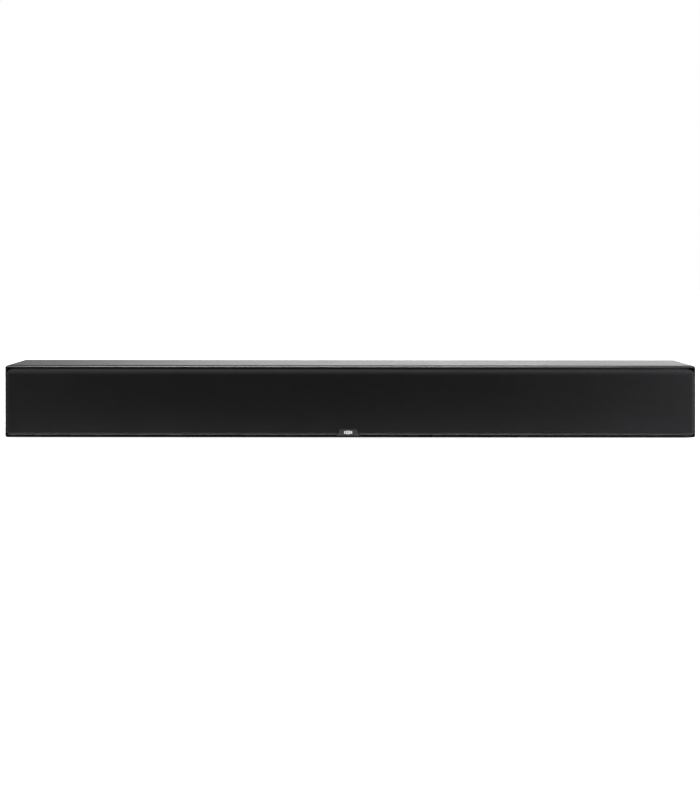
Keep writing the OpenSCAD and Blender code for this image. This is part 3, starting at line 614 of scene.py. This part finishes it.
def rim_ring(angle):
    """The shell's outline at an angle round its front rim, which is rounder on top than elsewhere."""
    across, along = 1 + math.cos(math.radians(angle)), 1 + math.sin(math.radians(angle))
    half_x, half_z = SHELL_SIZE.x / 2 - CORNER_R, SHELL_SIZE.z / 2 - CORNER_R
    points = []
    for x, z in rounded_rectangle(SHELL_SIZE.x, SHELL_SIZE.z, CORNER_R):
        out_x, out_z = max(0, abs(x) - half_x), max(0, z - half_z)
        top = out_z ** 2 / max(out_x ** 2 + out_z ** 2, 1e-12)
        wide, deep = (side + (up - side) * top for side, up in zip(SIDE_ROUND, TOP_ROUND))
        near_x, near_z = abs(x) - half_x, abs(z) - half_z
        x -= math.copysign(wide * across * max(0, near_x) / CORNER_R, x)
        z -= math.copysign(wide * across * max(0, near_z) / CORNER_R, z)
        points.append((SHELL_MIDDLE.x + x, RIM_Y + deep * along, SHELL_MIDDLE.z + z))
    return points


def make_cabinet():
    outside = arc((BACK_R, BACK_Y - BACK_R), BACK_R, 90, 180, 4)
    inside = arc((WALL - LIP_R, RIM_Y + LIP_R), LIP_R, 270, 360, 3)
    for reach, y0, y1 in (FRONT_LEDGE, REAR_LEDGE):
        inside += [(WALL, y0), (WALL + reach, y0), (WALL + reach, y1), (WALL, y1)]
    inside += arc((WALL - LIP_R, BACK_Y - LIP_R), LIP_R, 0, 90, 3)
    rings = [shell_ring(u, y, CORNER_R - u) for u, y in outside]
    rings += [rim_ring(angle) for angle in range(180, 271, 9)]
    rings += [shell_ring(u, y, INNER_CORNER_R) for u, y in inside]
    piece = new_object("cabinet", mesh_from("cabinet", *loft(rings, closed=True)), 40)
    dress(even_shading(piece), BLACK_MOULDED, "cabinet", "cabinet_shell", slot="cabinet_black")


# ---------- baffle and inside ----------

# The baffle's holes and the rebates round them, in millimetres
WOOFER_HOLE_R, WOOFER_REBATE_R = 48.8, 54.15
TWEETER_HOLE_R, TWEETER_REBATE_R = 21, 36.1
CUP_HOLE_R = 5.05
REBATE_DEPTH = 3.05


def make_baffle():
    low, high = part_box("front_baffle")
    middle, size = (low + high) / 2, high - low
    outline = [(middle.x + x, middle.z + z) for x, z in rounded_rectangle(size.x, size.z, 1 * MM, 4)]
    holes = [circle(x, AXIS_Z, WOOFER_HOLE_R * MM) for x in WOOFER_XS]
    holes += [circle(x, AXIS_Z, TWEETER_HOLE_R * MM) for x in TWEETER_XS]
    holes += [circle(*flat(*socket), CUP_HOLE_R * MM, 32) for socket in islands("peg_sockets")]
    board = plate("baffle", outline, holes, low.y, high.y, 0.4 * MM)
    rebates = [(x, WOOFER_REBATE_R) for x in WOOFER_XS] + [(x, TWEETER_REBATE_R) for x in TWEETER_XS]
    cutters = []
    for x, r in rebates:
        cutter = lathe("rebate", [(0, 1), (r, 1), (r, -REBATE_DEPTH), (0, -REBATE_DEPTH)])
        cutters.append(joined("rebate", [(cutter, driver_place(x))]))
    piece = even_shading(new_object("baffle", cut(board, cutters)))
    dress(piece, BAFFLE_PAINT, "cabinet", "front_baffle", slot="baffle_board")


def make_peg_sockets():
    outline = [(3.05, 0.95), (6.3, 0.95), (6.3, 0.05), (5, 0.05), (5, -8.3), (0, -8.3), (0, -7.6),
               (2.9, -7.6), (2.9, -6), (3.3, -5.4), (3.3, -1)]
    cup = lathe("peg_cup", rounded(outline, 0.3), 40)
    piece = copies("peg_cups", cup, [driver_place(*flat(*socket)) for socket in islands("peg_sockets")])
    dress(piece, RUBBER, "cabinet", "peg_sockets", slot="foot_rubber")


def make_gasket():
    low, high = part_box("rear_gasket")
    middle, size = (low + high) / 2, high - low
    width = 7 * MM
    rings = []
    for inset in (0, width):
        ring = rounded_rectangle(size.x - 2 * inset, size.z - 2 * inset, 1 * MM)
        rings.append([(middle.x + x, middle.z + z) for x, z in ring])
    piece = new_object("gasket", plate("gasket", rings[0], rings[1:], low.y, high.y, 0.3 * MM))
    dress(piece, FOAM, "cabinet", "rear_gasket", slot="foam_seal")


def make_wadding():
    """Blocks of loose fibre: a rounded block whose surface is pushed about by smooth noise."""
    for n, (low, high) in enumerate(islands("damping_wadding"), 1):
        shape = bmesh.new()
        bmesh.ops.create_cube(shape, size=2)
        bmesh.ops.subdivide_edges(shape, edges=shape.edges, cuts=17, use_grid_fill=True)
        middle, half = (low + high) / 2, (high - low) / 2
        for vertex in shape.verts:
            unit = vertex.co.copy()
            ball = unit.normalized()
            rounded_off = unit.lerp(ball * 1.2, 0.28)
            place = Vector(rounded_off[k] * half[k] * 0.93 for k in range(3))
            push = turbulence.noise(place * 60 + Vector((n * 7, 0, 0))) * 3 * MM
            place += ball * push
            vertex.co = middle + Vector(max(-half[k], min(half[k], place[k])) for k in range(3))
        mesh = filled(bpy.data.meshes.new(f"wadding_block_{n}"), shape)
        piece = new_object(mesh.name, mesh, 180)
        dress(piece, WADDING, "cabinet", *(["damping_wadding"] if n == 1 else []), slot="wadding")


# ---------- drivers ----------

def driver_place(x, z=AXIS_Z):
    """Turns a driver part from its own frame to its place in the baffle."""
    return Matrix.Translation((x, BAFFLE_Y, z)) @ Matrix.Rotation(math.radians(90), 4, "X")


def bend_between(piece, moving, x, still_r, moving_r):
    """Bends a ring that stands still at still_r and moves with a diaphragm at moving_r, in millimetres."""
    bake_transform(piece, "cabinet", moving, (x, 0, 0), (x + 0.1, 0, 0))
    for vertex, weight in zip(piece.data.vertices, piece.data.attributes["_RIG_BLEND"].data):
        r = math.hypot(vertex.co.x - x, vertex.co.z - AXIS_Z) / MM
        t = max(0, min(1, (r - still_r) / (moving_r - still_r)))
        weight.value = t * t * (3 - 2 * t)


def stands_for(node, i):
    """The CAD nodes that the i-th of like pieces stands for. A node shared by all goes with the first."""
    return [node.format(i)] if node and ("{}" in node or i == 1) else []


def make_drivers(kind, xs, parts, bending, moving_parts):
    """Sets each driver of a kind together. parts lists (name, mesh, material, slot, CAD node).

    bending holds still_r and moving_r of the rings that bend. The moving parts ride the diaphragm.
    """
    for i, x in enumerate(xs, 1):
        moving = f"{kind}_{i}_diaphragm"
        for part, mesh, material, slot, node in parts:
            bends = part in bending
            piece = new_object(f"{kind}_{i}_{part}_piece", mesh.copy() if bends else mesh)
            piece.matrix_world = driver_place(x)
            nodes = stands_for(node, i)
            if not bends:
                dress(piece, material, moving if part in moving_parts else "cabinet", *nodes, slot=slot)
                continue
            piece.data.materials.append(material)
            bend_between(piece, moving, x, *bending[part])
            if nodes:
                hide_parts(*nodes)


CONE_R, NECK_R = 37.2, 12.8


def cone_height(r):
    """The cone's face, shallow at its rim and steeper towards its neck."""
    return -0.4 - 16.6 * ((CONE_R - r) / 24.45) ** 1.12


def cone_outline():
    steps, ribs = 48, (33.5, 30, 26.5)
    rib_height, rib_width, thick = 0.22, 0.55, 0.65
    radii = [CONE_R + (NECK_R - CONE_R) * i / steps for i in range(steps + 1)]
    face = []
    for r in radii:
        raised = rib_height * sum(math.exp(-((r - rib) / rib_width) ** 2) for rib in ribs)
        face.append((r, cone_height(r) + raised))
    return face + [(r, cone_height(r) - thick) for r in reversed(radii)]


def cap_outline(r, height, thick, foot):
    """A shallow dome of base radius r at zero, with a skirt that ends at foot."""
    ball = (r * r + height * height) / (2 * height)
    reach = math.degrees(math.asin(r / ball))
    outer = arc((0, height - ball), ball, 90 - reach, 90, 16)
    inner = arc((0, height - ball), ball - thick, 90, 90 - reach, 16)
    return [(r, foot), *outer, *inner, (r - thick, foot)]


def roll_outline(middle, roll, thick, z, inner_lip, outer_lip):
    """A half-roll with a flat lip on each side."""
    edge = math.degrees(math.asin(min(1, thick / (roll + thick / 2))))
    outer = arc((middle, z), roll + thick / 2, 180 - edge, edge, 24)
    inner = arc((middle, z), roll - thick / 2, 0, 180, 24)
    return [(inner_lip, z), (inner_lip, z + thick * 0.8), (inner_lip + thick * 0.3, z + thick), *outer,
            (outer_lip - thick * 0.3, z + thick), (outer_lip, z + thick * 0.8), (outer_lip, z), *inner]


def spider_outline():
    """A waved disc from the former to its flat rim on the basket's ledge."""
    waves, steps, thick = 5, 60, 0.45
    inner, outer, rim = 12.85, 30.5, 35.5
    middle, rim_z = -21.95, -22
    levels = [(inner + (outer - inner) * i / steps, middle + math.sin(2 * math.pi * waves * i / steps))
              for i in range(steps + 1)]
    top = [(r, z + thick) for r, z in levels]
    return top + [(rim, rim_z + thick), (rim, rim_z)] + list(reversed(levels))


def basket_mesh():
    outline = [(44.2, 0), (54, 0), (54, -3), (48.6, -3), (34, -32), (16, -32), (16, -30), (32.8, -30),
               (46.6, -3.6), (44.2, -2)]
    body = lathe("basket", rounded(outline, 0.5), 120)
    windows = []
    for turn in range(0, 360, 60):
        window = box_mesh("window", (36 * MM, -10 * MM, -20 * MM), (51 * MM, 10 * MM, -7 * MM), 2.5 * MM, 3)
        window.transform(Matrix.Rotation(math.radians(turn), 4, "Z"))
        windows.append(window)
    body = cut(body, windows)
    ledge = lathe("ledge", rounded([(31, -24), (37.4, -24), (37.4, -22.05), (31, -22.05)], 0.3), 96)
    tags = box_mesh("tags", (-4 * MM, -41 * MM, -31 * MM), (4 * MM, -34 * MM, -26 * MM), 0.5 * MM)
    return joined("basket", [(body, Matrix()), (ledge, Matrix()), (tags, Matrix())])


def winding_outline():
    """Two layers of round wire, seen as a row of beads."""
    beads, top, bottom = 16, -32.5, -40
    pitch = (top - bottom) / beads
    outer = []
    for i in range(beads):
        middle = bottom + pitch * (i + 0.5)
        outer += [(13.02, middle - pitch / 2), (13.25, middle - pitch / 5), (13.25, middle + pitch / 5)]
    return [(12.72, bottom), *outer, (12.72, top)]


def make_woofers():
    magnet = rounded([(17, -48.6), (34, -48.6), (34, -36.6), (17, -36.6)], 0.8)
    top_plate = rounded([(13.75, -36.55), (31, -36.55), (31, -32.05), (13.75, -32.05)], 0.4)
    yoke = rounded([(0.01, -53.65, 0), (31, -53.65), (31, -48.65), (14, -48.65), (12, -46.65), (12, -32.05),
                    (3, -32.05), (2.6, -33)], 0.5)
    former = [(12.4, -40.5), (12.7, -40.5), (12.7, -16), (12.4, -16)]
    cap_r = 15.5
    cap = [(r, z + cone_height(cap_r) + 0.35) for r, z in cap_outline(cap_r, 5, 0.6, -0.3)]
    surround = roll_outline(40.9, 3.5, 0.8, 0.05, 34.6, 47.4)
    parts = [
        ("basket", basket_mesh(), BASKET_PAINT, "basket_steel", "woofer_baskets"),
        ("magnet", lathe("magnet", magnet), FERRITE, "ferrite", "woofer_magnets"),
        ("top_plate", lathe("top_plate", top_plate), ZINC_STEEL, "zinc_steel", None),
        ("yoke", lathe("yoke", [(0, -53.65), *yoke, (0, -33)]), ZINC_STEEL, "zinc_steel",
         "woofer_pole_plates"),
        ("former", lathe("former", former), CAST_ZINC, "coil_copper", None),
        ("winding", lathe("winding", winding_outline()), COPPER, "coil_copper", "woofer_{}_voice_coil"),
        ("cone", lathe("cone", cone_outline(), 144), CONE_PULP, "cone_pulp", "woofer_{}_cone"),
        ("dust_cap", lathe("dust_cap", cap), CAP_COATING, "cone_pulp", "woofer_{}_dust_cap"),
        ("surround", lathe("surround", surround, 144), ROLL_RUBBER, "roll_rubber", "woofer_{}_surround"),
        ("spider", lathe("spider", spider_outline()), SPIDER_COTTON, "spider_cloth", "woofer_spiders"),
    ]
    make_drivers("woofer", WOOFER_XS, parts, {"surround": (44.3, 37.6), "spider": (31, 13.4)},
                 ("former", "winding", "cone", "dust_cap"))


def make_tweeters():
    faceplate = rounded([(26, 0), (36, 0), (36, -3), (19.5, -3), (19.5, -5.9), (16.2, -5.9), (17.6, -3.4),
                         (20.5, -1.6)], 0.4, 4)
    motor = rounded([(0.01, -24, 0), (18, -24), (18, -6.8), (13.5, -6.8), (13.5, -10), (15.5, -10),
                     (15.5, -21), (11.8, -21), (11.8, -7.5), (0.01, -7.5, 0)], 0.3)
    dome = [(r, z - 6) for r, z in cap_outline(12.7, 5.2, 0.4, -4.5)]
    roll = roll_outline(14.6, 1.3, 0.4, -6.5, 12.75, 17.9)
    parts = [
        ("faceplate", lathe("faceplate", faceplate, 120), BLACK_MOULDED, "baffle_board",
         "tweeter_faceplates"),
        ("motor", lathe("motor", [(0, -24), *motor, (0, -7.5)]), ZINC_STEEL, "zinc_steel",
         "tweeter_motors"),
        ("dome", lathe("dome", dome, 120), DOME_SILK, "dome_silk", "tweeter_{}_dome"),
        ("surround", lathe("tweeter_roll", roll, 120), DOME_SILK, "dome_silk", "tweeter_surrounds"),
    ]
    make_drivers("tweeter", TWEETER_XS, parts, {"surround": (16, 13.2)}, ("dome",))


# ---------- screws ----------

def screw_mesh(shank_r, length, head_r, head_t):
    """A pan-head screw with a cross recess, its head's underside at zero."""
    pitch = 0.9
    threads = []
    for i in range(int(length / pitch) - 1):
        z = -pitch * (i + 1)
        threads += [(shank_r * 0.8, z + 0.3), (shank_r, z), (shank_r * 0.8, z - 0.3)]
    head = [(0, head_t), (head_r * 0.5, head_t), (head_r * 0.8, head_t * 0.86), (head_r, head_t * 0.4),
            (head_r, head_t * 0.1), (head_r * 0.96, 0)]
    tip = [(shank_r * 0.7, -length + 0.8), (0, -length)]
    body = lathe("screw", [*head, (shank_r, 0), *threads, *tip], 32)
    long, wide = head_r * 0.52 * MM, head_r * 0.12 * MM
    bars = []
    for turn in (0, 90):
        bar = box_mesh("bar", (-long, -wide, head_t * 0.35 * MM), (long, wide, (head_t + 1) * MM),
                       0.03 * MM, 1)
        bar.transform(Matrix.Rotation(math.radians(turn), 4, "Z"))
        bars.append(bar)
    return cut(body, bars)


# Each size of screw: radius of shank, length, radius and height of head, in millimetres
DRIVER_SCREWS = [(1.6, 8, 2.8, 1.6), (1.4, 7, 2.4, 1.3)]
REAR_SCREWS = [(1.4, 11, 3.3, 1.9), (1.2, 8, 2.2, 0.8), (1.2, 7, 2, 0.9)]


def make_screws(name, node, sizes, facing):
    """New screws on the places of a CAD node's, each of the size whose head is nearest to the old one's.

    facing is 1 for screws seen from the front and -1 from the back.
    """
    meshes = {size: screw_mesh(*size) for size in sizes}
    turn = Matrix.Rotation(math.radians(90 * facing), 4, "X")
    parts = []
    for n, (low, high) in enumerate(islands(node)):
        middle, width = (low + high) / 2, (high.x - low.x) / 2 / MM
        size = min(sizes, key=lambda s: abs(s[2] - width))
        head_y = low.y + size[3] * MM if facing > 0 else high.y - size[3] * MM
        spin = Matrix.Rotation(n * 1.1, 4, "Z")
        parts.append((meshes[size], Matrix.Translation((middle.x, head_y, middle.z)) @ turn @ spin))
    dress(new_object(name, joined(name, parts)), BLACK_OXIDE, "cabinet", node, slot="black_screw")


# ---------- back ----------

def make_feet():
    low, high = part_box("rubber_feet")
    height = (high.z - low.z) / MM
    outline = rounded([(0.01, 0, 0), (8.4, 0), (8.9, 1.2), (8.9, height), (0.01, height, 0)], 0.5)
    foot = lathe("foot", [(0, 0), *outline, (0, height)], 64)
    middles = [(low + high) / 2 for low, high in islands("rubber_feet")]
    places = [Matrix.Translation((middle.x, middle.y, low.z)) for middle in middles]
    dress(copies("feet", foot, places), RUBBER, "cabinet", "rubber_feet", slot="foot_rubber")


def make_inserts():
    """Brass inserts with a threaded bore."""
    bore = []
    for i in range(12):
        z = 0.8 - i
        bore += [(2.5, z), (2.72, z - 0.5)]
    outline = [(5, -12), (5, 0), (6.2, 0), (6.5, 0.3), (6.5, 0.75), (6.25, 1), (2.9, 1), *bore,
               (2.5, -11.5), (2.5, -12)]
    turn = Matrix.Rotation(math.radians(-90), 4, "X")
    places = []
    for low, high in islands("bracket_inserts"):
        x, z = flat(low, high)
        places.append(Matrix.Translation((x, high.y - 1 * MM, z)) @ turn)
    piece = copies("inserts", lathe("insert", outline, 48), places)
    dress(piece, BRASS, "cabinet", "bracket_inserts", slot="insert_brass")


LEVER_PIVOT_Z = 81 * MM
STRIP_Z = 52.15 * MM


def make_leaf_spring(i, x):
    """The bent leaf behind a lever, drawn at rest; nothing here makes it flatten as the lever tips."""
    foot, tip = BACK_Y / MM - 14.95, BACK_Y / MM - 8.8
    leaf = [(foot, -2), (foot, -10.2), (tip - 0.7, -18.6), (tip - 1.7, -20.6), (tip - 1.1, -20.9),
            (tip, -18.6), (foot + 0.6, -10), (foot + 0.6, -2)]
    outline = rounded([(y * MM, LEVER_PIVOT_Z + z * MM) for y, z in leaf], 0.4 * MM, 4)
    mesh = plate(f"leaf_spring_{i}", outline, [], -3 * MM, 3 * MM, 0.08 * MM)
    mesh.transform(Matrix.Translation((x, 0, 0)) @ Matrix.Rotation(math.radians(90), 4, "Z"))
    for vertex in mesh.vertices:
        vertex.co.x = 2 * x - vertex.co.x
    mesh.flip_normals()
    piece = dress(new_object(mesh.name, mesh), BRASS, "cabinet", slot="contact_brass")
    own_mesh(piece)


def contact_strip(x):
    """A flat strip with an eye, in the wire block under a lever."""
    tag = [(x + dx * MM, BACK_Y - dy * MM) for dx, dy in ((-1.5, 24), (1.5, 24), (1.5, 9), (-1.5, 9))]
    eye = circle(x, BACK_Y - 22 * MM, 0.6 * MM, 16)
    strip = plate("strip", rounded(tag, 0.6 * MM), [eye], -0.3 * MM, 0.3 * MM, 0.08 * MM)
    strip.transform(Matrix.Translation((0, 0, STRIP_Z)) @ Matrix.Rotation(math.radians(-90), 4, "X"))
    return strip


def make_contacts():
    strips = []
    for i in LEVERS:
        x = middle_of(f"terminal_lever_{i}").x
        make_leaf_spring(i, x)
        strips.append((contact_strip(x), Matrix()))
    piece = new_object("contact_strips", joined("contact_strips", strips))
    dress(piece, BRASS, "cabinet", "terminal_contacts", slot="contact_brass")


def soften(node, material, width):
    """A CAD node that stays: a better material, and edges rounded off by width metres."""
    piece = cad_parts[node]
    repaint(node, material)
    merge = piece.modifiers.new("merge", "WELD")
    merge.merge_threshold = 0.01 * MM
    flat_faces = piece.modifiers.new("flat_faces", "DECIMATE")
    flat_faces.decimate_type, flat_faces.angle_limit = "DISSOLVE", math.radians(1)
    bevel = piece.modifiers.new("bevel", "BEVEL")
    bevel.width, bevel.segments, bevel.limit_method = width, 2, "ANGLE"
    bevel.angle_limit = math.radians(50)
    even_shading(piece)


def make_back():
    soften("rear_panel", BACK_PAINT, 0.3 * MM)
    soften("terminal_cup", BLACK_TERMINAL, 0.25 * MM)
    soften("keyhole_hangers", CAST_ZINC, 0.3 * MM)
    for i in LEVERS:
        soften(f"terminal_lever_{i}", LEVER_RED if i % 2 == 0 else LEVER_BLACK, 0.25 * MM)
    soften("chamber_dividers", FIBREBOARD, 0.3 * MM)
    soften("crossover_boards", BOARD_GREEN, 0.1 * MM)
    repaint("crossover_components", VARNISH)
    repaint("wiring_loom", LEAD_SHEATH)
    make_screws("rear_screws", "rear_panel_screws", REAR_SCREWS, -1)
    make_feet()
    make_inserts()
    make_contacts()


# ---------- grille ----------

GRILLE_CORNER_R = 7.5 * MM
CLOTH_T = 0.6 * MM
FOLD_R = 1.2 * MM        # how tightly the cloth turns round the frame's back edge
TURN_IN = 7 * MM         # how far the cloth is turned in behind the frame
CELL = 9.3 * MM          # size of the cloth's cells
TOP_DROP = Vector((0, 0, 0.8 * MM))      # how much wider the gap is over the grille than under it
FRAME_CORNER_R, FRAME_EDGE_R = 7.6 * MM, 7.2 * MM
RAIL_X, RAIL_Z = 18 * MM, 9.5 * MM       # widths of the frame's upright and level rails
RIB_XS = [42, 148, 220, 292, 398, 482]   # the frame's ribs on either side of its middle, in millimetres


def grille_ring(size, middle, inset, y, radius=GRILLE_CORNER_R, across=1, up=1):
    points = rounded_rectangle(size.x - 2 * inset, size.z - 2 * inset, radius - inset, 6, across, up)
    return [(middle.x + x, y, middle.z + z) for x, z in points]


def make_grille_cloth():
    low, high = CLOTH_LOW, CLOTH_HIGH - TOP_DROP
    middle, size = (low + high) / 2, high - low
    front, back = low.y, high.y
    across, up = round(size.x / CELL), round(size.z / CELL)
    square = GRILLE_EDGE_R + 0.4 * MM        # from here inwards the face is flat and its corners are square
    edge = arc((GRILLE_EDGE_R, front + GRILLE_EDGE_R), GRILLE_EDGE_R, 270, 180, 12)
    fold = arc((FOLD_R, back - FOLD_R), FOLD_R, 180, 90, 4)
    path = [(square, front), *edge, *fold, (TURN_IN, back)]
    vertices, faces = loft([grille_ring(size, middle, *p, across=across, up=up) for p in path])
    half_x, half_z = size.x / 2 - square, size.z / 2 - square
    first = len(vertices)
    for j in range(up + 1):
        z = middle.z - half_z + 2 * half_z * j / up
        vertices += [(middle.x - half_x + 2 * half_x * i / across, front, z) for i in range(across + 1)]
    for j in range(up):
        for a in range(first + j * (across + 1), first + j * (across + 1) + across):
            faces.append((a, a + 1, a + across + 2, a + across + 1))
    mesh = mesh_from("grille_cloth_cover", vertices, faces, merge=2e-5)
    piece = new_object(mesh.name, mesh, 70)
    thick = piece.modifiers.new("thickness", "SOLIDIFY")
    thick.thickness, thick.offset = CLOTH_T, -1
    even_shading(piece)
    dress(piece, GRILLE_CLOTH, "grille", "grille_cloth", slot="grille_fabric")


def grille_peg():
    """A peg with a notch near its tip, along Z."""
    r, neck_r = 3, 2.65
    return lathe("peg", [(0, -1), (r, -1), (r, 0), (r, 5.2), (neck_r, 5.6), (neck_r, 6.2), (r, 6.6),
                         (r, 7.2), (r - 1.2, 8.2), (0, 8.2)], 32)


def make_grille_frame():
    low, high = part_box("grille_frame")
    high -= TOP_DROP
    front, back = low.y, BAFFLE_Y - 2.5 * MM
    middle, size = (low + high) / 2, high - low
    soft_r = 0.6 * MM
    outside = arc((soft_r, back - soft_r), soft_r, 90, 180, 3)
    outside += arc((FRAME_EDGE_R, front + FRAME_EDGE_R), FRAME_EDGE_R, 180, 270, 8)
    rings = [grille_ring(size, middle, u, y, FRAME_CORNER_R) for u, y in outside]
    window = Vector((size.x - 2 * RAIL_X, 0, size.z - 2 * RAIL_Z))
    for u, y in ((-soft_r, front), (0, front + soft_r), (0, back - soft_r), (-soft_r, back)):
        rings.append(grille_ring(window, middle, u, y, 2 * MM))
    parts = [(mesh_from("rail", *loft(rings, closed=True)), Matrix())]
    rib_low, rib_high = middle.z - window.z / 2 - 1 * MM, middle.z + window.z / 2 + 1 * MM
    for x in [side * x for x in RIB_XS for side in (-1, 1)]:
        rib = box_mesh("rib", ((x - 3) * MM, front + 3 * MM, rib_low),
                       ((x + 3) * MM, back - 2 * MM, rib_high), 0.6 * MM)
        parts.append((rib, Matrix()))
    peg, turn = grille_peg(), Matrix.Rotation(math.radians(-90), 4, "X")
    for socket in islands("peg_sockets"):
        x, z = flat(*socket)
        parts.append((peg, Matrix.Translation((x, back, z)) @ turn))
    piece = even_shading(new_object("grille_frame_piece", joined("grille_frame_piece", parts), 40))
    dress(piece, FRAME_PLASTIC, "grille", "grille_frame", slot="frame_plastic")


def cloth_front(height):
    """Y of the cloth's surface at a height above the grille's lower edge."""
    if height >= GRILLE_EDGE_R:
        return CLOTH_LOW.y
    return CLOTH_LOW.y + GRILLE_EDGE_R - math.sqrt(GRILLE_EDGE_R ** 2 - (GRILLE_EDGE_R - height) ** 2)


BADGE_NARROWING = 5.5 * MM       # how much each end draws in from the foot to the top
BADGE_SOFT = 0.5 * MM
BADGE_LEVELS = 14
BAR_MIDDLE = 5.8 * MM            # above the grille's lower edge
BAR_HEIGHTS = [4.8, 5.8, 6.6, 5.8, 4.8]
BAR_PITCH = 3


def badge_mesh(low, high, face):
    """A plate that narrows upwards, whose back follows the cloth's rounded lower edge."""
    middle_x, half, height = (low.x + high.x) / 2, (high.x - low.x) / 2, high.z - low.z
    rings = []
    for i in range(BADGE_LEVELS + 1):
        share = i / BADGE_LEVELS
        z = low.z + height * share
        ends = min(share, 1 - share) * height
        pull = BADGE_SOFT - math.sqrt(max(0, BADGE_SOFT ** 2 - max(0, BADGE_SOFT - ends) ** 2))
        x = half - BADGE_NARROWING * share - pull
        back = max(face + 0.2 * MM, cloth_front(z - CLOTH_LOW.z) - 0.05 * MM)
        front = face + pull
        outline = rounded([(-x, back), (-x, front), (x, front), (x, back)], BADGE_SOFT, 4)
        rings.append([(middle_x + px, py, z) for px, py in outline])
    vertices, faces = loft(rings)
    count = len(rings[0])
    faces += [tuple(range(count)), tuple(range(len(vertices) - count, len(vertices)))]
    return mesh_from("badge_plate", vertices, faces, merge=1e-7)


def make_badge():
    """The small plate, with pale level bars."""
    low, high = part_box("grille_badge")
    face = low.y + 0.2 * MM
    piece = new_object("badge_plate", badge_mesh(low, high, face), 40)
    dress(piece, BADGE_PLATE, "grille", "grille_badge", slot="badge_plastic")
    bars = []
    middle_z = CLOTH_LOW.z + BAR_MIDDLE
    for i, tall in enumerate(BAR_HEIGHTS):
        x = (low.x + high.x) / 2 + (i - 2) * BAR_PITCH * MM
        bars.append((box_mesh("bar", (x - 1 * MM, low.y + 0.02 * MM, middle_z - tall / 2 * MM),
                              (x + 1 * MM, face + 0.1 * MM, middle_z + tall / 2 * MM), 0.1 * MM), Matrix()))
    dress(new_object("badge_bars", joined("badge_bars", bars)), BADGE_BARS, "grille", slot="badge_plastic")


# ---------- the whole ----------

make_camera()
make_floor()
make_lights()
make_cabinet()
make_baffle()
make_peg_sockets()
make_gasket()
make_wadding()
make_woofers()
make_tweeters()
make_screws("driver_screws_piece", "driver_screws", DRIVER_SCREWS, 1)
make_back()
make_grille_frame()
make_grille_cloth()
make_badge()
